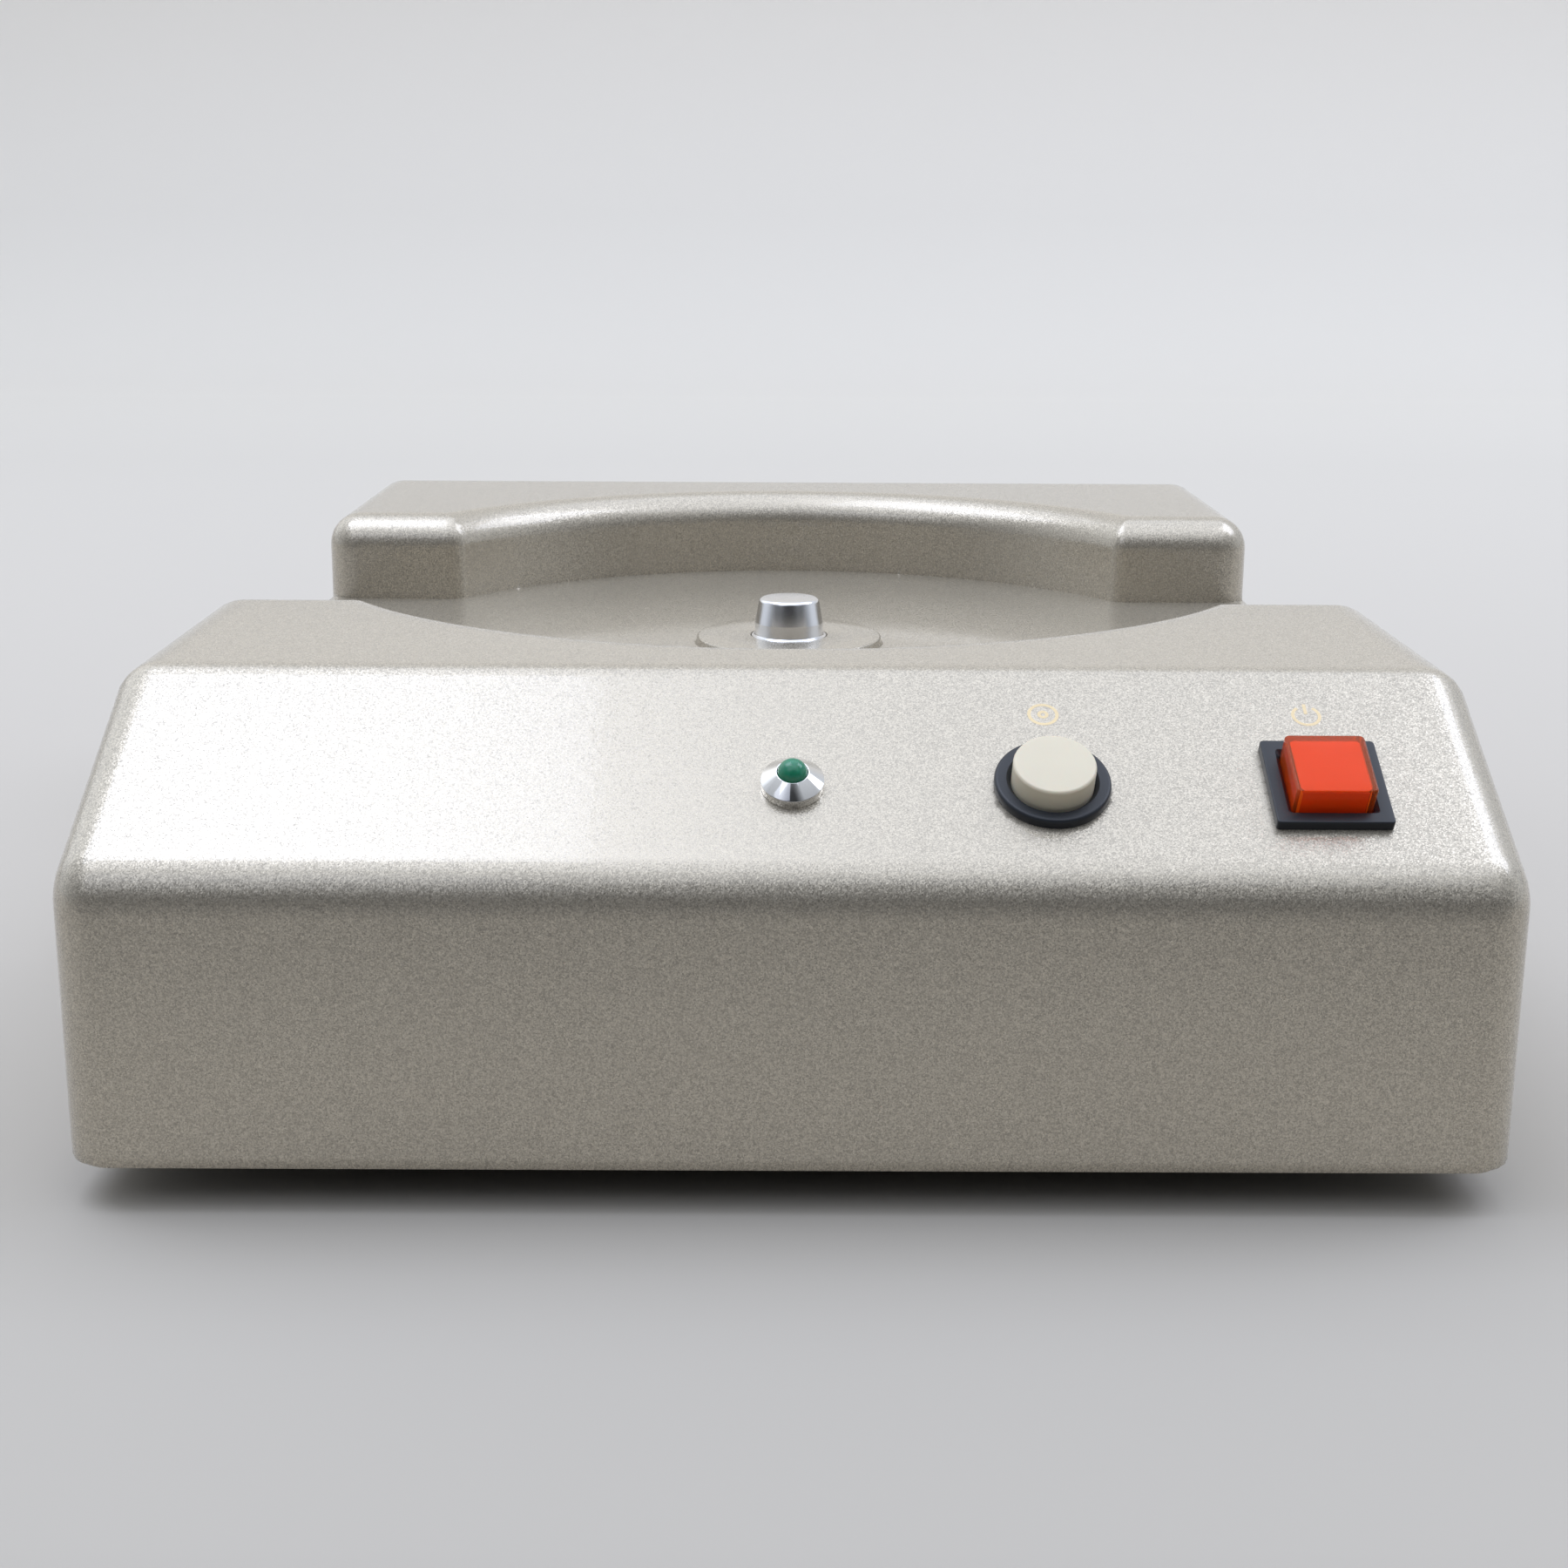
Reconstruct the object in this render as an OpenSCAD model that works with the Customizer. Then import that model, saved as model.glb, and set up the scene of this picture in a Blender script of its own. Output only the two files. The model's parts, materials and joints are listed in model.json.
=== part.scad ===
// Tabletop disc demagnetizer: a sloped-front case with a round disc recess, a finger channel,
// two push buttons and a lamp on the panel, and the coil, board and mains inlet inside.

/* [Case] */
// Width of the case at the deck
case_w = 174; // [168:1:190]
// Depth of the case from front wall to rear wall
case_d = 221; // [216:1:240]
// Height of the case from its lower rim to the deck
case_h = 54.7; // [54:0.1:64]
// Height of the front wall up to the lower edge of the sloping panel
front_h = 36.4; // [35:0.1:40]
// Horizontal run of the sloping panel
panel_run = 32.5; // [30:0.5:35]
// Radius of the rounded outer edges
edge_r = 6; // [4.5:0.5:7]
// Radius of the rounded fold between the front wall and the panel
fold_r = 8; // [7:0.5:10]
// Wall thickness of the case
wall = 3; // [2:0.25:3.5]
// How much further out each side stands at the lower rim
side_flare = 0.6; // [0.2:0.1:1.5]
// Gap between the ground and the lower rim
ground_gap = 6; // [5:0.5:10]

/* [Disc recess] */
// How far the centre of the disc lies behind the middle of the case
disc_y = 11.8; // [9:0.1:14]
// Diameter of the round recess
recess_d = 147; // [144:0.5:149]
// Depth of the recess below the deck
recess_depth = 15.5; // [13:0.5:17]
// Width of the finger channel across the recess
channel_w = 79.5; // [60:0.5:84]
// Diameter of the seat that carries the disc
seat_d = 31.5; // [26:0.5:36]
// Height of the seat above the recess floor
seat_h = 1.6; // [1:0.1:3]
// Diameter of the spindle at its foot
spindle_d = 11.6; // [10.5:0.1:14]
// Diameter of the spindle at its top
spindle_top_d = 10; // [8:0.1:10.4]
// Height of the spindle above the seat
spindle_h = 6.3; // [5:0.1:9]
// Height of the straight part at the foot of the spindle
spindle_collar_h = 2.2; // [1.5:0.1:3]
// Diameter of the threaded stud under the spindle
spindle_stud_d = 6; // [4:0.5:8]

/* [Panel] */
// Distance up the slope from the lower edge to the row of controls
row_s = 15.7; // [15:0.1:18]
// Sideways place of the lamp
led_x = 0; // [-4:0.5:4]
// Sideways place of the erase button
erase_x = 31.3; // [29:0.1:34]
// Sideways place of the power button
power_x = 64.2; // [62:0.1:66]
// Outer diameter of the lamp bezel
led_bezel_d = 7.7; // [7.2:0.1:10]
// Height of the lamp bezel
led_bezel_h = 2.4; // [2:0.1:4]
// Diameter of the lamp lens
led_lens_d = 3.7; // [3:0.1:4.2]
// Outer diameter of the erase button's bezel
erase_bezel_d = 14.1; // [13.6:0.1:18]
// Diameter of the erase button's cap
erase_cap_d = 10; // [8:0.1:10.4]
// Side of the power button's square bezel
power_bezel_w = 14; // [13.4:0.1:17]
// Side of the power button's square lens
power_lens_w = 9.7; // [8.6:0.1:10]
// Thickness of both bezels
bezel_t = 1.3; // [1:0.1:1.8]
// How far the erase button stands out of the panel
erase_out = 4; // [3.6:0.1:6]
// How far the power button stands out of the panel
power_out = 4.3; // [3.6:0.1:6]
// Travel of the erase button
erase_travel = 2.2; // [1.6:0.1:2.6]
// Travel of the power button
power_travel = 2; // [1.6:0.1:2.6]

/* [Coil] */
// Outer diameter of the coil former
coil_d = 122; // [110:1:124]
// Inner diameter of the coil former
coil_bore_d = 80; // [70:1:84]
// Height of the coil former
coil_h = 22; // [16:1:23]
// Thickness of the coil former's wall and flanges
coil_wall = 2; // [1.5:0.25:2.5]

/* [Inlet] */
// Sideways place of the mains inlet
inlet_x = 38; // [36:0.5:42]
// Width of the inlet's flange
inlet_w = 50; // [48:0.5:54]
// Height of the inlet's flange
inlet_h = 36; // [33:0.5:38]
// Thickness of the inlet's flange
inlet_flange_t = 2; // [1.5:0.1:3]
// Depth of the inlet's body behind the flange
inlet_body_d = 24; // [23:0.5:27]
// Travel of the fuse drawer
drawer_travel = 20; // [12:1:20]

/* [Board] */
// Width of the circuit board
board_w = 92; // [84:1:100]
// Depth of the circuit board
board_d = 48; // [45:0.5:52]
// Thickness of the circuit board
board_t = 1.6; // [1:0.1:2.4]
// Height of the standoffs under the circuit board
standoff_h = 7; // [6.5:0.5:9]

/* [Base and feet] */
// Thickness of the base plate
base_t = 1.6; // [1:0.1:2.4]
// How far the base plate sits above the lower rim
base_inset = 1; // [0.6:0.1:1.4]
// Diameter of a foot at its top
foot_d = 18; // [14:0.5:22]
// Diameter of the screw shanks
screw_d = 3; // [2.5:0.1:3.4]

/* [Hidden] */
$fn = 64;

// Clearances
slide_gap = 0.08;
seat_gap = 0.05;
fit_gap = 0.3;
end_gap = 0.3;
part_gap = 2;

// Case frame: x across, y back from the front wall, z up from the lower rim
slope = atan2(case_h - front_h, panel_run);
disc_c = case_d / 2 + disc_y;
floor_z = case_h - recess_depth;
ceiling_z = floor_z - wall;
base_top_z = base_inset + base_t;
over_cut = 1;
arc_fn = 32;
fold_steps = 4;

// Rim of the flares, a hair above the deck so that they meet it cleanly
flare_z = case_h + 0.05;

// Screws and bosses
screw_r = screw_d / 2 - seat_gap;
screw_hole_r = screw_d / 2;
head_r = screw_d * 0.95;
head_h = screw_d * 0.7;
nut_r = screw_d * 1.05;
nut_h = screw_d * 0.8;
boss_r = screw_d / 2 + 3;
boss_sink = 0.5;
boss_in = boss_r + wall - boss_sink;
boss_x = case_w / 2 - boss_in;
boss_ys = [boss_in, case_d - boss_in];
pilot_depth = 14;
boss_l = pilot_depth + wall;

// The rear inlet and its screw heads stand behind the case, so the front wall lies this far forward
y_front = -(case_d + inlet_flange_t + head_h) / 2;

// Feet
foot_h = ground_gap + base_inset;
foot_in_x = 19;
foot_in_y = 32;
foot_x = case_w / 2 - foot_in_x;
foot_ys = [foot_in_y, case_d - foot_in_y];
foot_bevel = 0.8;
foot_well_r = head_r + 1;
foot_well_h = foot_h * 0.55;

// Spindle stack under the recess floor
washer_h = 1.2;
washer_r = spindle_stud_d;
spindle_nut_r = spindle_stud_d * 0.95;
spindle_nut_h = spindle_stud_d * 0.8;
spindle_flange_r = spindle_d / 2 + 0.6;
spindle_flange_t = 0.5;
spindle_bevel = 0.6;
stud_l = seat_h + wall + washer_h + spindle_nut_h + 1;
seat_z = floor_z + seat_h;

// Lamp
led_barrel_r = led_lens_d / 2 + 1;
led_barrel_l = wall + 6;
led_nut_h = 2;
led_nut_rim = 1.6;
led_rim_h = 1.1;
led_lip = 0.12;
led_dome_in = 0.3;
led_lens_low = -4;
led_lead_out = 8;
led_lead_w = 0.6;
led_lead_x = 1.27;

// Both buttons, measured along the panel's normal from the panel's face
mouth_l = 3;
mouth_bevel = 0.5;
mouth_bevel_h = 0.6;
button_stop = -mouth_l - seat_gap;
button_flange_t = 2;
button_spring_top = button_stop - button_flange_t;
button_floor_t = 3;

// Erase button
erase_spring_l = erase_travel * 2;
erase_bore_r = erase_cap_d / 2 + slide_gap;
erase_chamber_r = erase_bore_r + 0.5;
erase_barrel_r = erase_chamber_r + 0.6;
erase_floor = button_spring_top - erase_spring_l;
erase_end = erase_floor - button_floor_t;
erase_nut_h = 2.4;
erase_nut_rim = 2.4;
erase_bevel = 0.35;
erase_top_t = 2;
erase_post_r = 2.6;
erase_post_gap = 0.4;
bezel_bevel = 0.4;
spring_wire_r = 0.25;
spring_r = 3.2;
spring_sides = 6;
tag_l = 6;
tag_w = 2;
tag_t = 0.6;
tag_x = 3;

// Power button
power_bore_w = power_lens_w + 2 * slide_gap;
power_chamber_w = power_bore_w + 1;
power_body_w = power_chamber_w + 1.4;
power_spring_l = power_travel * 3;
power_floor = button_spring_top - power_spring_l;
power_end = power_floor - button_floor_t;
lens_wall = 0.6;
barb_out = 0.7;
barb_l = 4;

// Coil, hung under the recess floor
coil_low_z = ceiling_z - coil_h;
coil_boss_ring = coil_d / 2 + boss_r + 0.5;
coil_angles = [45, 135, 225, 315];
clip_t = 1.6;
clip_w = 12;
clip_reach = 8;

// Board and what stands on it, placed from the board's own corner
board_in = 7;
board_edge = 6;
board_x = board_in - boss_x;
board_y = 9;
board_low_z = base_top_z + standoff_h;
board_z = board_low_z + board_t;
board_hole_in = 4;
can_r = 8;
can_room = 1.3;
can_h = ceiling_z - can_room - board_z;
can_groove = 0.5;
can_groove_z = 2;
can_bevel = 1;
cans = 3;
can_back = 5.5;
can_at = [board_edge + can_r, board_d - can_r - can_back];
can_step = 2 * can_r + part_gap;
film_size = [12, 18, 16];
film_at = [can_at.x + can_step * (cans - 1) + can_r + part_gap + film_size.x / 2, 30];
sink_at = [10, 4];
sink_h = 22;
fin_t = 1.5;
fin_l = 9;
fin_step = 5;
fins = 5;
sink_w = fin_step * (fins - 1) + fin_t;
sink_back = 2.5;
chip_size = [10, 6.5, 3.5];
chip_leg = [0.6, 0.7, 3];
chip_at = [sink_at.x + sink_w + 2 * part_gap + chip_size.x / 2, 8];
resistors = 4;
resistor_step = 5;
resistor_l = 7;
resistor_r = 1.25;
resistor_at = [
    chip_at.x - resistor_step * (resistors - 1) / 2,
    chip_at.y + chip_size.y / 2 + chip_leg.y + part_gap / 2
];
relay_size = [11, 14, 15];
relay_at = [chip_at.x + chip_size.x / 2 + 2 * part_gap + relay_size.x / 2, 10];
terminal_size = [8, 21, 10];
terminal_at = [board_w - board_edge, 24];
terminal_step = 4;
terminal_hole_r = 1.2;

// Transformer, standing on the base plate by the rear wall
core_w = 36;
core_h = 30;
core_d = 16;
core_leg = 6;
strap_t = 1;
strap_foot = 10;
coil_box_d = 22;
trafo_x = boss_r + part_gap + strap_foot + strap_t + core_w / 2 - boss_x;
trafo_y = case_d - wall - part_gap / 2 - coil_box_d / 2;

// Inlet
inlet_rib = 1.6;
inlet_body_w = 28;
inlet_screw_x = inlet_w / 2 - 5;
socket_w = 24.2;
socket_h = 16.8;
socket_d = 16;
drawer_w = 24;
drawer_h = 9;
drawer_hold = 2;
drawer_d = drawer_travel + drawer_hold;
inlet_body_h = socket_h + drawer_h + 3 * inlet_rib;
socket_z = inlet_body_h / 2 - inlet_rib - socket_h / 2;
drawer_z = inlet_rib + drawer_h / 2 - inlet_body_h / 2;
inlet_z = base_top_z + part_gap + inlet_body_h / 2;
drawer_floor_t = 2;
grip = [8, 1.2, 3];
pin_w = 2;
pin_h = 4;
pin_x = 7;
pin_z = 2;
pin_back = 8;
pin_in = 2;
fuse_r = 2.5;
fuse_l = 20;
fuse_cap_l = 5;
fuse_cap_out = 0.15;
fuse_in = 7;
fuse_gap = 0.5;
fuse_z = drawer_floor_t + fuse_r + fuse_cap_out + seat_gap;

// Leads: radius of a lead over its insulation, and samples between two route points
lead_r = 0.9;
lead_steps = 3;

// Frames
module in_case() translate([0, y_front, ground_gap]) children();
module on_panel(x)
    in_case() translate([x, 0, front_h]) rotate([slope, 0, 0]) translate([0, row_s, 0]) children();
module at_disc() in_case() translate([0, disc_c, 0]) children();
module at_rear() in_case() translate([inlet_x, case_d, inlet_z]) children();
module at_trafo() in_case() translate([trafo_x, trafo_y, base_top_z]) children();
module on_board() in_case() translate([board_x, board_y, board_z]) children();
module coil_places() for (a = coil_angles) rotate(a) translate([coil_boss_ring, 0, 0]) children();
module boss_places() for (side = [-1, 1], y = boss_ys) translate([side * boss_x, y, 0]) children();
module foot_places() for (side = [-1, 1], y = foot_ys) translate([side * foot_x, y, 0]) children();
module board_places()
    for (x = [board_hole_in, board_w - board_hole_in], y = [board_hole_in, board_d - board_hole_in])
        translate([x, y, 0]) children();

// Point on the panel's normal at a control: x, offset up the slope and height over the face
function panel_point(x, s, n) = [
    x,
    (row_s + s) * cos(slope) - n * sin(slope),
    front_h + (row_s + s) * sin(slope) + n * cos(slope)
];
function in_part(p) = p + [0, y_front, ground_gap];

// Round rod with a pan head, pointing up from the head's seat
module pan_screw(length) {
    cylinder(r = screw_r, h = length);
    translate([0, 0, -head_h]) cylinder(r = head_r, h = head_h);
}
module hex_nut(r, hole_r, h) difference() {
    cylinder(r = r, h = h, $fn = 6);
    translate([0, 0, -over_cut]) cylinder(r = hole_r, h = h + 2 * over_cut);
}
module block(size) translate([-size.x / 2, -size.y / 2, 0]) cube(size);

// Smooth run through route points
function spline(a, b, c, d, t) = 0.5 * (2 * b + (c - a) * t + (2 * a - 5 * b + 4 * c - d) * t * t
    + (3 * b - a - 3 * c + d) * t * t * t);
function smooth(p) = let (n = len(p) - 1) concat(
    [for (i = [0 : n - 1], k = [0 : lead_steps - 1])
        spline(p[max(i - 1, 0)], p[i], p[i + 1], p[min(i + 2, n)], k / lead_steps)],
    [p[n]]);
function unit(v) = v / norm(v);
function tangent(p, i) = unit(p[min(i + 1, len(p) - 1)] - p[max(i - 1, 0)]);

// Tube of a given radius and number of sides along a list of points
module tube(p, r, sides, up) {
    rings = [for (i = [0 : len(p) - 1])
        let (t = tangent(p, i), u = unit(cross(up, t)), v = cross(t, u))
        for (k = [0 : sides - 1]) p[i] + r * (cos(360 * k / sides) * u + sin(360 * k / sides) * v)];
    last = (len(p) - 1) * sides;
    polyhedron(points = rings, faces = concat(
        [for (i = [0 : len(p) - 2], k = [0 : sides - 1]) [
            i * sides + k, (i + 1) * sides + k, i * sides + (k + 1) % sides]],
        [for (i = [0 : len(p) - 2], k = [0 : sides - 1]) [
            i * sides + (k + 1) % sides, (i + 1) * sides + k, (i + 1) * sides + (k + 1) % sides]],
        [for (k = [1 : sides - 2]) [0, k, k + 1]],
        [for (k = [1 : sides - 2]) [last, last + k + 1, last + k]]));
}

// Lead through route points, straight at both ends for one diameter
function straight_end(a, b) = a + 2 * lead_r * unit(b - a);
function lead_route(p) = let (n = len(p) - 1) concat(
    [p[0], straight_end(p[0], p[1])],
    [for (i = [1 : n - 1]) p[i]],
    [straight_end(p[n], p[n - 1]), p[n]]);
module lead(p) tube([for (q = smooth(lead_route(p))) in_part(q)], lead_r, 8, [0.31, 0.17, 0.93]);

// Coil spring between two heights on the z axis
module spring(low, high, turns) {
    start = low + spring_wire_r + seat_gap;
    rise = high - low - 2 * (spring_wire_r + seat_gap);
    points = [for (i = [0 : 8 * turns])
        [spring_r * cos(45 * i), spring_r * sin(45 * i), start + rise * i / (8 * turns)]];
    tube(points, spring_wire_r, spring_sides, [0, 0, 1]);
}

// Case with rounded edges, inset evenly for the hollow inside
module case_form(inset, low) {
    r = edge_r - inset;
    fold_y = panel_run + edge_r * (1 - cos(slope)) / sin(slope);
    fold_z = front_h - fold_r * (1 - sin(slope)) / cos(slope);
    fold_turn = fold_r - edge_r;
    front_fold = [for (k = [0 : fold_steps]) let (a = (90 - slope) * k / fold_steps)
        [fold_r - fold_turn * cos(a), fold_z + fold_turn * sin(a)]];
    top_z = case_h - edge_r;
    rim_x = case_w / 2 + side_flare - edge_r;
    crowns = concat(front_fold, [[fold_y, top_z], [case_d - edge_r, top_z]]);
    hull() for (side = [-1, 1]) {
        for (y = [edge_r, case_d - edge_r])
            translate([side * rim_x, y, low]) cylinder(r = r, h = 1, $fn = arc_fn);
        for (c = crowns)
            translate([side * (case_w / 2 - edge_r), c[0], c[1]]) sphere(r = r, $fn = arc_fn);
    }
}

// Profile of a cut with an upright wall and a rounded rim: x runs out from the middle of the cut
module rim_profile(half) {
    translate([0, floor_z]) square([half, case_h]);
    difference() {
        translate([half - over_cut, flare_z - edge_r]) square([edge_r + over_cut, case_h]);
        translate([half + edge_r, flare_z - edge_r]) circle(r = edge_r);
    }
}

// Everything cut out of the deck: round recess, finger channel and the channel's rounded mouths
module recess_cut() difference() {
    translate([0, disc_c, 0]) union() {
        rotate_extrude() rim_profile(recess_d / 2);
        for (way = [0, 180]) rotate([90, 0, 90 + way])
            linear_extrude(height = case_w + 4 * edge_r, center = true) rim_profile(channel_w / 2);
        for (way = [0, 180], side = [0, 1]) rotate(way) mirror([side, 0, 0]) mouth_cut();
    }
    translate([0, disc_c, 0]) cylinder(d = seat_d, h = seat_z);
}
module mouth_cut() translate([case_w / 2 - edge_r, channel_w / 2, floor_z]) difference() {
    translate([0, -over_cut, 0]) cube([2 * edge_r, edge_r + over_cut, case_h]);
    translate([0, edge_r, -over_cut]) cylinder(r = edge_r, h = case_h + 2 * over_cut);
}

// Hollow inside the case, less the recess walls and the screw bosses
module hollow() difference() {
    case_form(wall, -over_cut);
    translate([0, disc_c, ceiling_z]) {
        cylinder(r = recess_d / 2 + wall, h = case_h);
        block([2 * case_w, channel_w + 2 * wall, case_h]);
    }
    translate([0, 0, base_top_z]) boss_places() cylinder(r = boss_r, h = boss_l);
    translate([0, disc_c, coil_low_z]) coil_places() cylinder(r = boss_r, h = case_h);
}

// Case and base
module top_shell() color("#c9c5bd") difference() {
    in_case() difference() {
        case_form(0, 0);
        recess_cut();
        hollow();
        boss_places() cylinder(r = screw_hole_r, h = base_top_z + pilot_depth);
        translate([0, disc_c, 0]) coil_places() cylinder(r = screw_hole_r, h = coil_low_z + pilot_depth);
        translate([0, disc_c, 0]) cylinder(d = spindle_stud_d + fit_gap, h = case_h);
        translate([0, disc_c, seat_z - spindle_flange_t])
            cylinder(r = spindle_flange_r + fit_gap / 2, h = case_h);
    }
    on_panel(led_x) cylinder(r = led_barrel_r + fit_gap / 2, h = 4 * wall, center = true);
    on_panel(erase_x) cylinder(r = erase_barrel_r + fit_gap / 2, h = 4 * wall, center = true);
    on_panel(power_x)
        cube([power_body_w + fit_gap, power_body_w + fit_gap, 4 * wall], center = true);
    at_rear() rear_cut();
}
module rear_cut() {
    translate([0, -wall / 2, 0])
        cube([inlet_body_w + fit_gap, 3 * wall, inlet_body_h + fit_gap], center = true);
    for (side = [-1, 1]) translate([side * inlet_screw_x, 0, 0])
        rotate([90, 0, 0]) cylinder(r = screw_hole_r, h = 4 * wall, center = true);
}
module base_plate() color("#1d1d1f") in_case() difference() {
    half_w = case_w / 2 + side_flare - wall - fit_gap;
    r = edge_r - wall;
    translate([0, 0, base_inset]) linear_extrude(height = base_t) union() {
        translate([-half_w, wall + fit_gap + r]) square([2 * half_w, case_d - 2 * (wall + fit_gap + r)]);
        translate([r - half_w, wall + fit_gap]) square([2 * (half_w - r), case_d - 2 * (wall + fit_gap)]);
        for (side = [-1, 1], y = [wall + fit_gap + r, case_d - wall - fit_gap - r])
            translate([side * (half_w - r), y]) circle(r = r);
    }
    boss_places() cylinder(r = screw_hole_r, h = case_h);
    foot_places() cylinder(r = screw_hole_r, h = case_h);
    translate([board_x, board_y, 0]) board_places() cylinder(r = screw_hole_r, h = case_h);
    translate([trafo_x, trafo_y, 0]) strap_places() cylinder(r = screw_hole_r, h = case_h);
}
module base_screws() color("#2b2b2d") in_case()
    translate([0, 0, base_inset]) boss_places() pan_screw(base_t + pilot_depth - 2);

// Feet
module foot(side, y) color("#161617") in_case() translate([side * foot_x, y, base_inset - foot_h])
    rotate_extrude() difference() {
        polygon([[0, 0], [foot_d / 2 - 2 * foot_bevel, 0], [foot_d / 2 - foot_bevel, foot_bevel],
            [foot_d / 2, foot_h], [0, foot_h]]);
        square([2 * foot_well_r, 2 * foot_well_h], center = true);
        square([2 * screw_hole_r, 3 * foot_h], center = true);
    }
module foot_front_left() foot(-1, foot_ys[0]);
module foot_front_right() foot(1, foot_ys[0]);
module foot_rear_left() foot(-1, foot_ys[1]);
module foot_rear_right() foot(1, foot_ys[1]);
module foot_screws() color("#8d8f92") in_case() translate([0, 0, base_inset - foot_h + foot_well_h])
    foot_places() pan_screw(foot_h - foot_well_h + base_t + nut_h + 0.5);
module foot_nuts() color("#b9bbbd") in_case() translate([0, 0, base_top_z])
    foot_places() hex_nut(nut_r, screw_hole_r, nut_h);

// Disc spindle
module disc_spindle() color("#d9d9db") at_disc() translate([0, 0, seat_z]) rotate_extrude() {
    stud_r = spindle_stud_d / 2;
    foot_r = spindle_d / 2;
    top_r = spindle_top_d / 2;
    polygon([[0, -stud_l], [stud_r, -stud_l], [stud_r, -spindle_flange_t],
        [spindle_flange_r, -spindle_flange_t], [spindle_flange_r, 0], [foot_r, 0],
        [foot_r, spindle_collar_h], [top_r, spindle_h - spindle_bevel],
        [top_r - spindle_bevel, spindle_h], [0, spindle_h]]);
}
module spindle_washer() color("#c4c6c8") at_disc() translate([0, 0, ceiling_z - washer_h]) difference() {
    cylinder(r = washer_r, h = washer_h);
    translate([0, 0, -over_cut]) cylinder(d = spindle_stud_d + fit_gap, h = washer_h + 2 * over_cut);
}
module spindle_nut() color("#b9bbbd") at_disc() translate([0, 0, ceiling_z - washer_h - spindle_nut_h])
    hex_nut(spindle_nut_r, spindle_stud_d / 2 + seat_gap, spindle_nut_h);

// Lamp
module led_bezel() color("#e6e6e8") on_panel(led_x) rotate_extrude() {
    bore_r = led_lens_d / 2 + seat_gap;
    rim_r = led_bezel_d / 2;
    polygon([[bore_r, -led_barrel_l], [led_barrel_r, -led_barrel_l], [led_barrel_r, 0], [rim_r, 0],
        [rim_r, led_rim_h], [bore_r + led_lip, led_bezel_h], [bore_r, led_bezel_h]]);
}
module led_nut() color("#c4c6c8") on_panel(led_x) translate([0, 0, -wall - seat_gap - led_nut_h])
    hex_nut(led_barrel_r + led_nut_rim, led_barrel_r + seat_gap, led_nut_h);
module led_lamp() color("#2f9a5f") on_panel(led_x) {
    lens_r = led_lens_d / 2;
    dome_z = led_bezel_h - led_dome_in;
    translate([0, 0, led_lens_low]) cylinder(r = lens_r, h = dome_z - led_lens_low);
    translate([0, 0, dome_z]) intersection() {
        sphere(r = lens_r);
        cylinder(r = led_lens_d, h = led_lens_d);
    }
    for (side = [-1, 1]) translate([side * led_lead_x, 0, -led_lead_out - wall])
        block([led_lead_w, led_lead_w, led_lead_out + wall + led_lens_low]);
}

// Erase button
module erase_housing() color("#20242b") on_panel(erase_x) rotate_extrude() {
    rim_r = erase_bezel_d / 2;
    polygon([[0, erase_end], [erase_barrel_r, erase_end], [erase_barrel_r, 0], [rim_r, 0],
        [rim_r, bezel_t - bezel_bevel], [rim_r - bezel_bevel, bezel_t],
        [erase_bore_r + mouth_bevel, bezel_t], [erase_bore_r, bezel_t - mouth_bevel_h],
        [erase_bore_r, -mouth_l], [erase_chamber_r, -mouth_l], [erase_chamber_r, erase_floor],
        [0, erase_floor]]);
}
module erase_nut() color("#2c2f34") on_panel(erase_x) translate([0, 0, -wall - seat_gap - erase_nut_h])
    hex_nut(erase_barrel_r + erase_nut_rim, erase_barrel_r + seat_gap, erase_nut_h);
module erase_cap() color("#e4e0d4") on_panel(erase_x) rotate_extrude() {
    cap_r = erase_cap_d / 2;
    socket_r = erase_post_r + seat_gap;
    polygon([[socket_r, button_stop], [cap_r, button_stop], [cap_r, erase_out - erase_bevel],
        [cap_r - erase_bevel, erase_out], [0, erase_out], [0, erase_out - erase_top_t],
        [socket_r, erase_out - erase_top_t]]);
}
module erase_plunger() color("#3a3d42") on_panel(erase_x) {
    post_l = erase_out - erase_top_t - erase_post_gap - button_stop;
    translate([0, 0, button_spring_top]) cylinder(r = erase_chamber_r - slide_gap, h = button_flange_t);
    translate([0, 0, button_stop]) cylinder(r = erase_post_r, h = post_l);
}
module erase_spring() color("#b5b7ba") on_panel(erase_x) spring(erase_floor, button_spring_top, 5);
module erase_terminals() color("#d8c48a") on_panel(erase_x) tags(erase_end, [0]);
module tags(top, rows) for (side = [-1, 1], y = rows)
    translate([side * tag_x, y, top - tag_l]) block([tag_w, tag_t, tag_l]);

// Power button
module power_housing() color("#20242b") on_panel(power_x) {
    difference() {
        union() {
            translate([0, 0, power_end]) block([power_body_w, power_body_w, -power_end]);
            block([power_bezel_w, power_bezel_w, bezel_t]);
        }
        translate([0, 0, power_floor]) block([power_chamber_w, power_chamber_w, -mouth_l - power_floor]);
        translate([0, 0, power_floor]) block([power_bore_w, power_bore_w, 2 * bezel_t - power_floor]);
        power_mouth();
    }
    for (side = [0, 1]) mirror([side, 0, 0]) translate([power_body_w / 2, 0, -wall - seat_gap])
        rotate([90, 0, 0]) linear_extrude(height = power_body_w / 2, center = true)
            polygon([[-seat_gap, 0], [barb_out, 0], [0, -barb_l], [-seat_gap, -barb_l]]);
}
module power_mouth() hull() {
    top_w = power_bore_w + 2 * mouth_bevel;
    translate([0, 0, bezel_t]) block([top_w, top_w, over_cut]);
    translate([0, 0, bezel_t - mouth_bevel_h]) block([power_bore_w, power_bore_w, mouth_bevel_h]);
}
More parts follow.
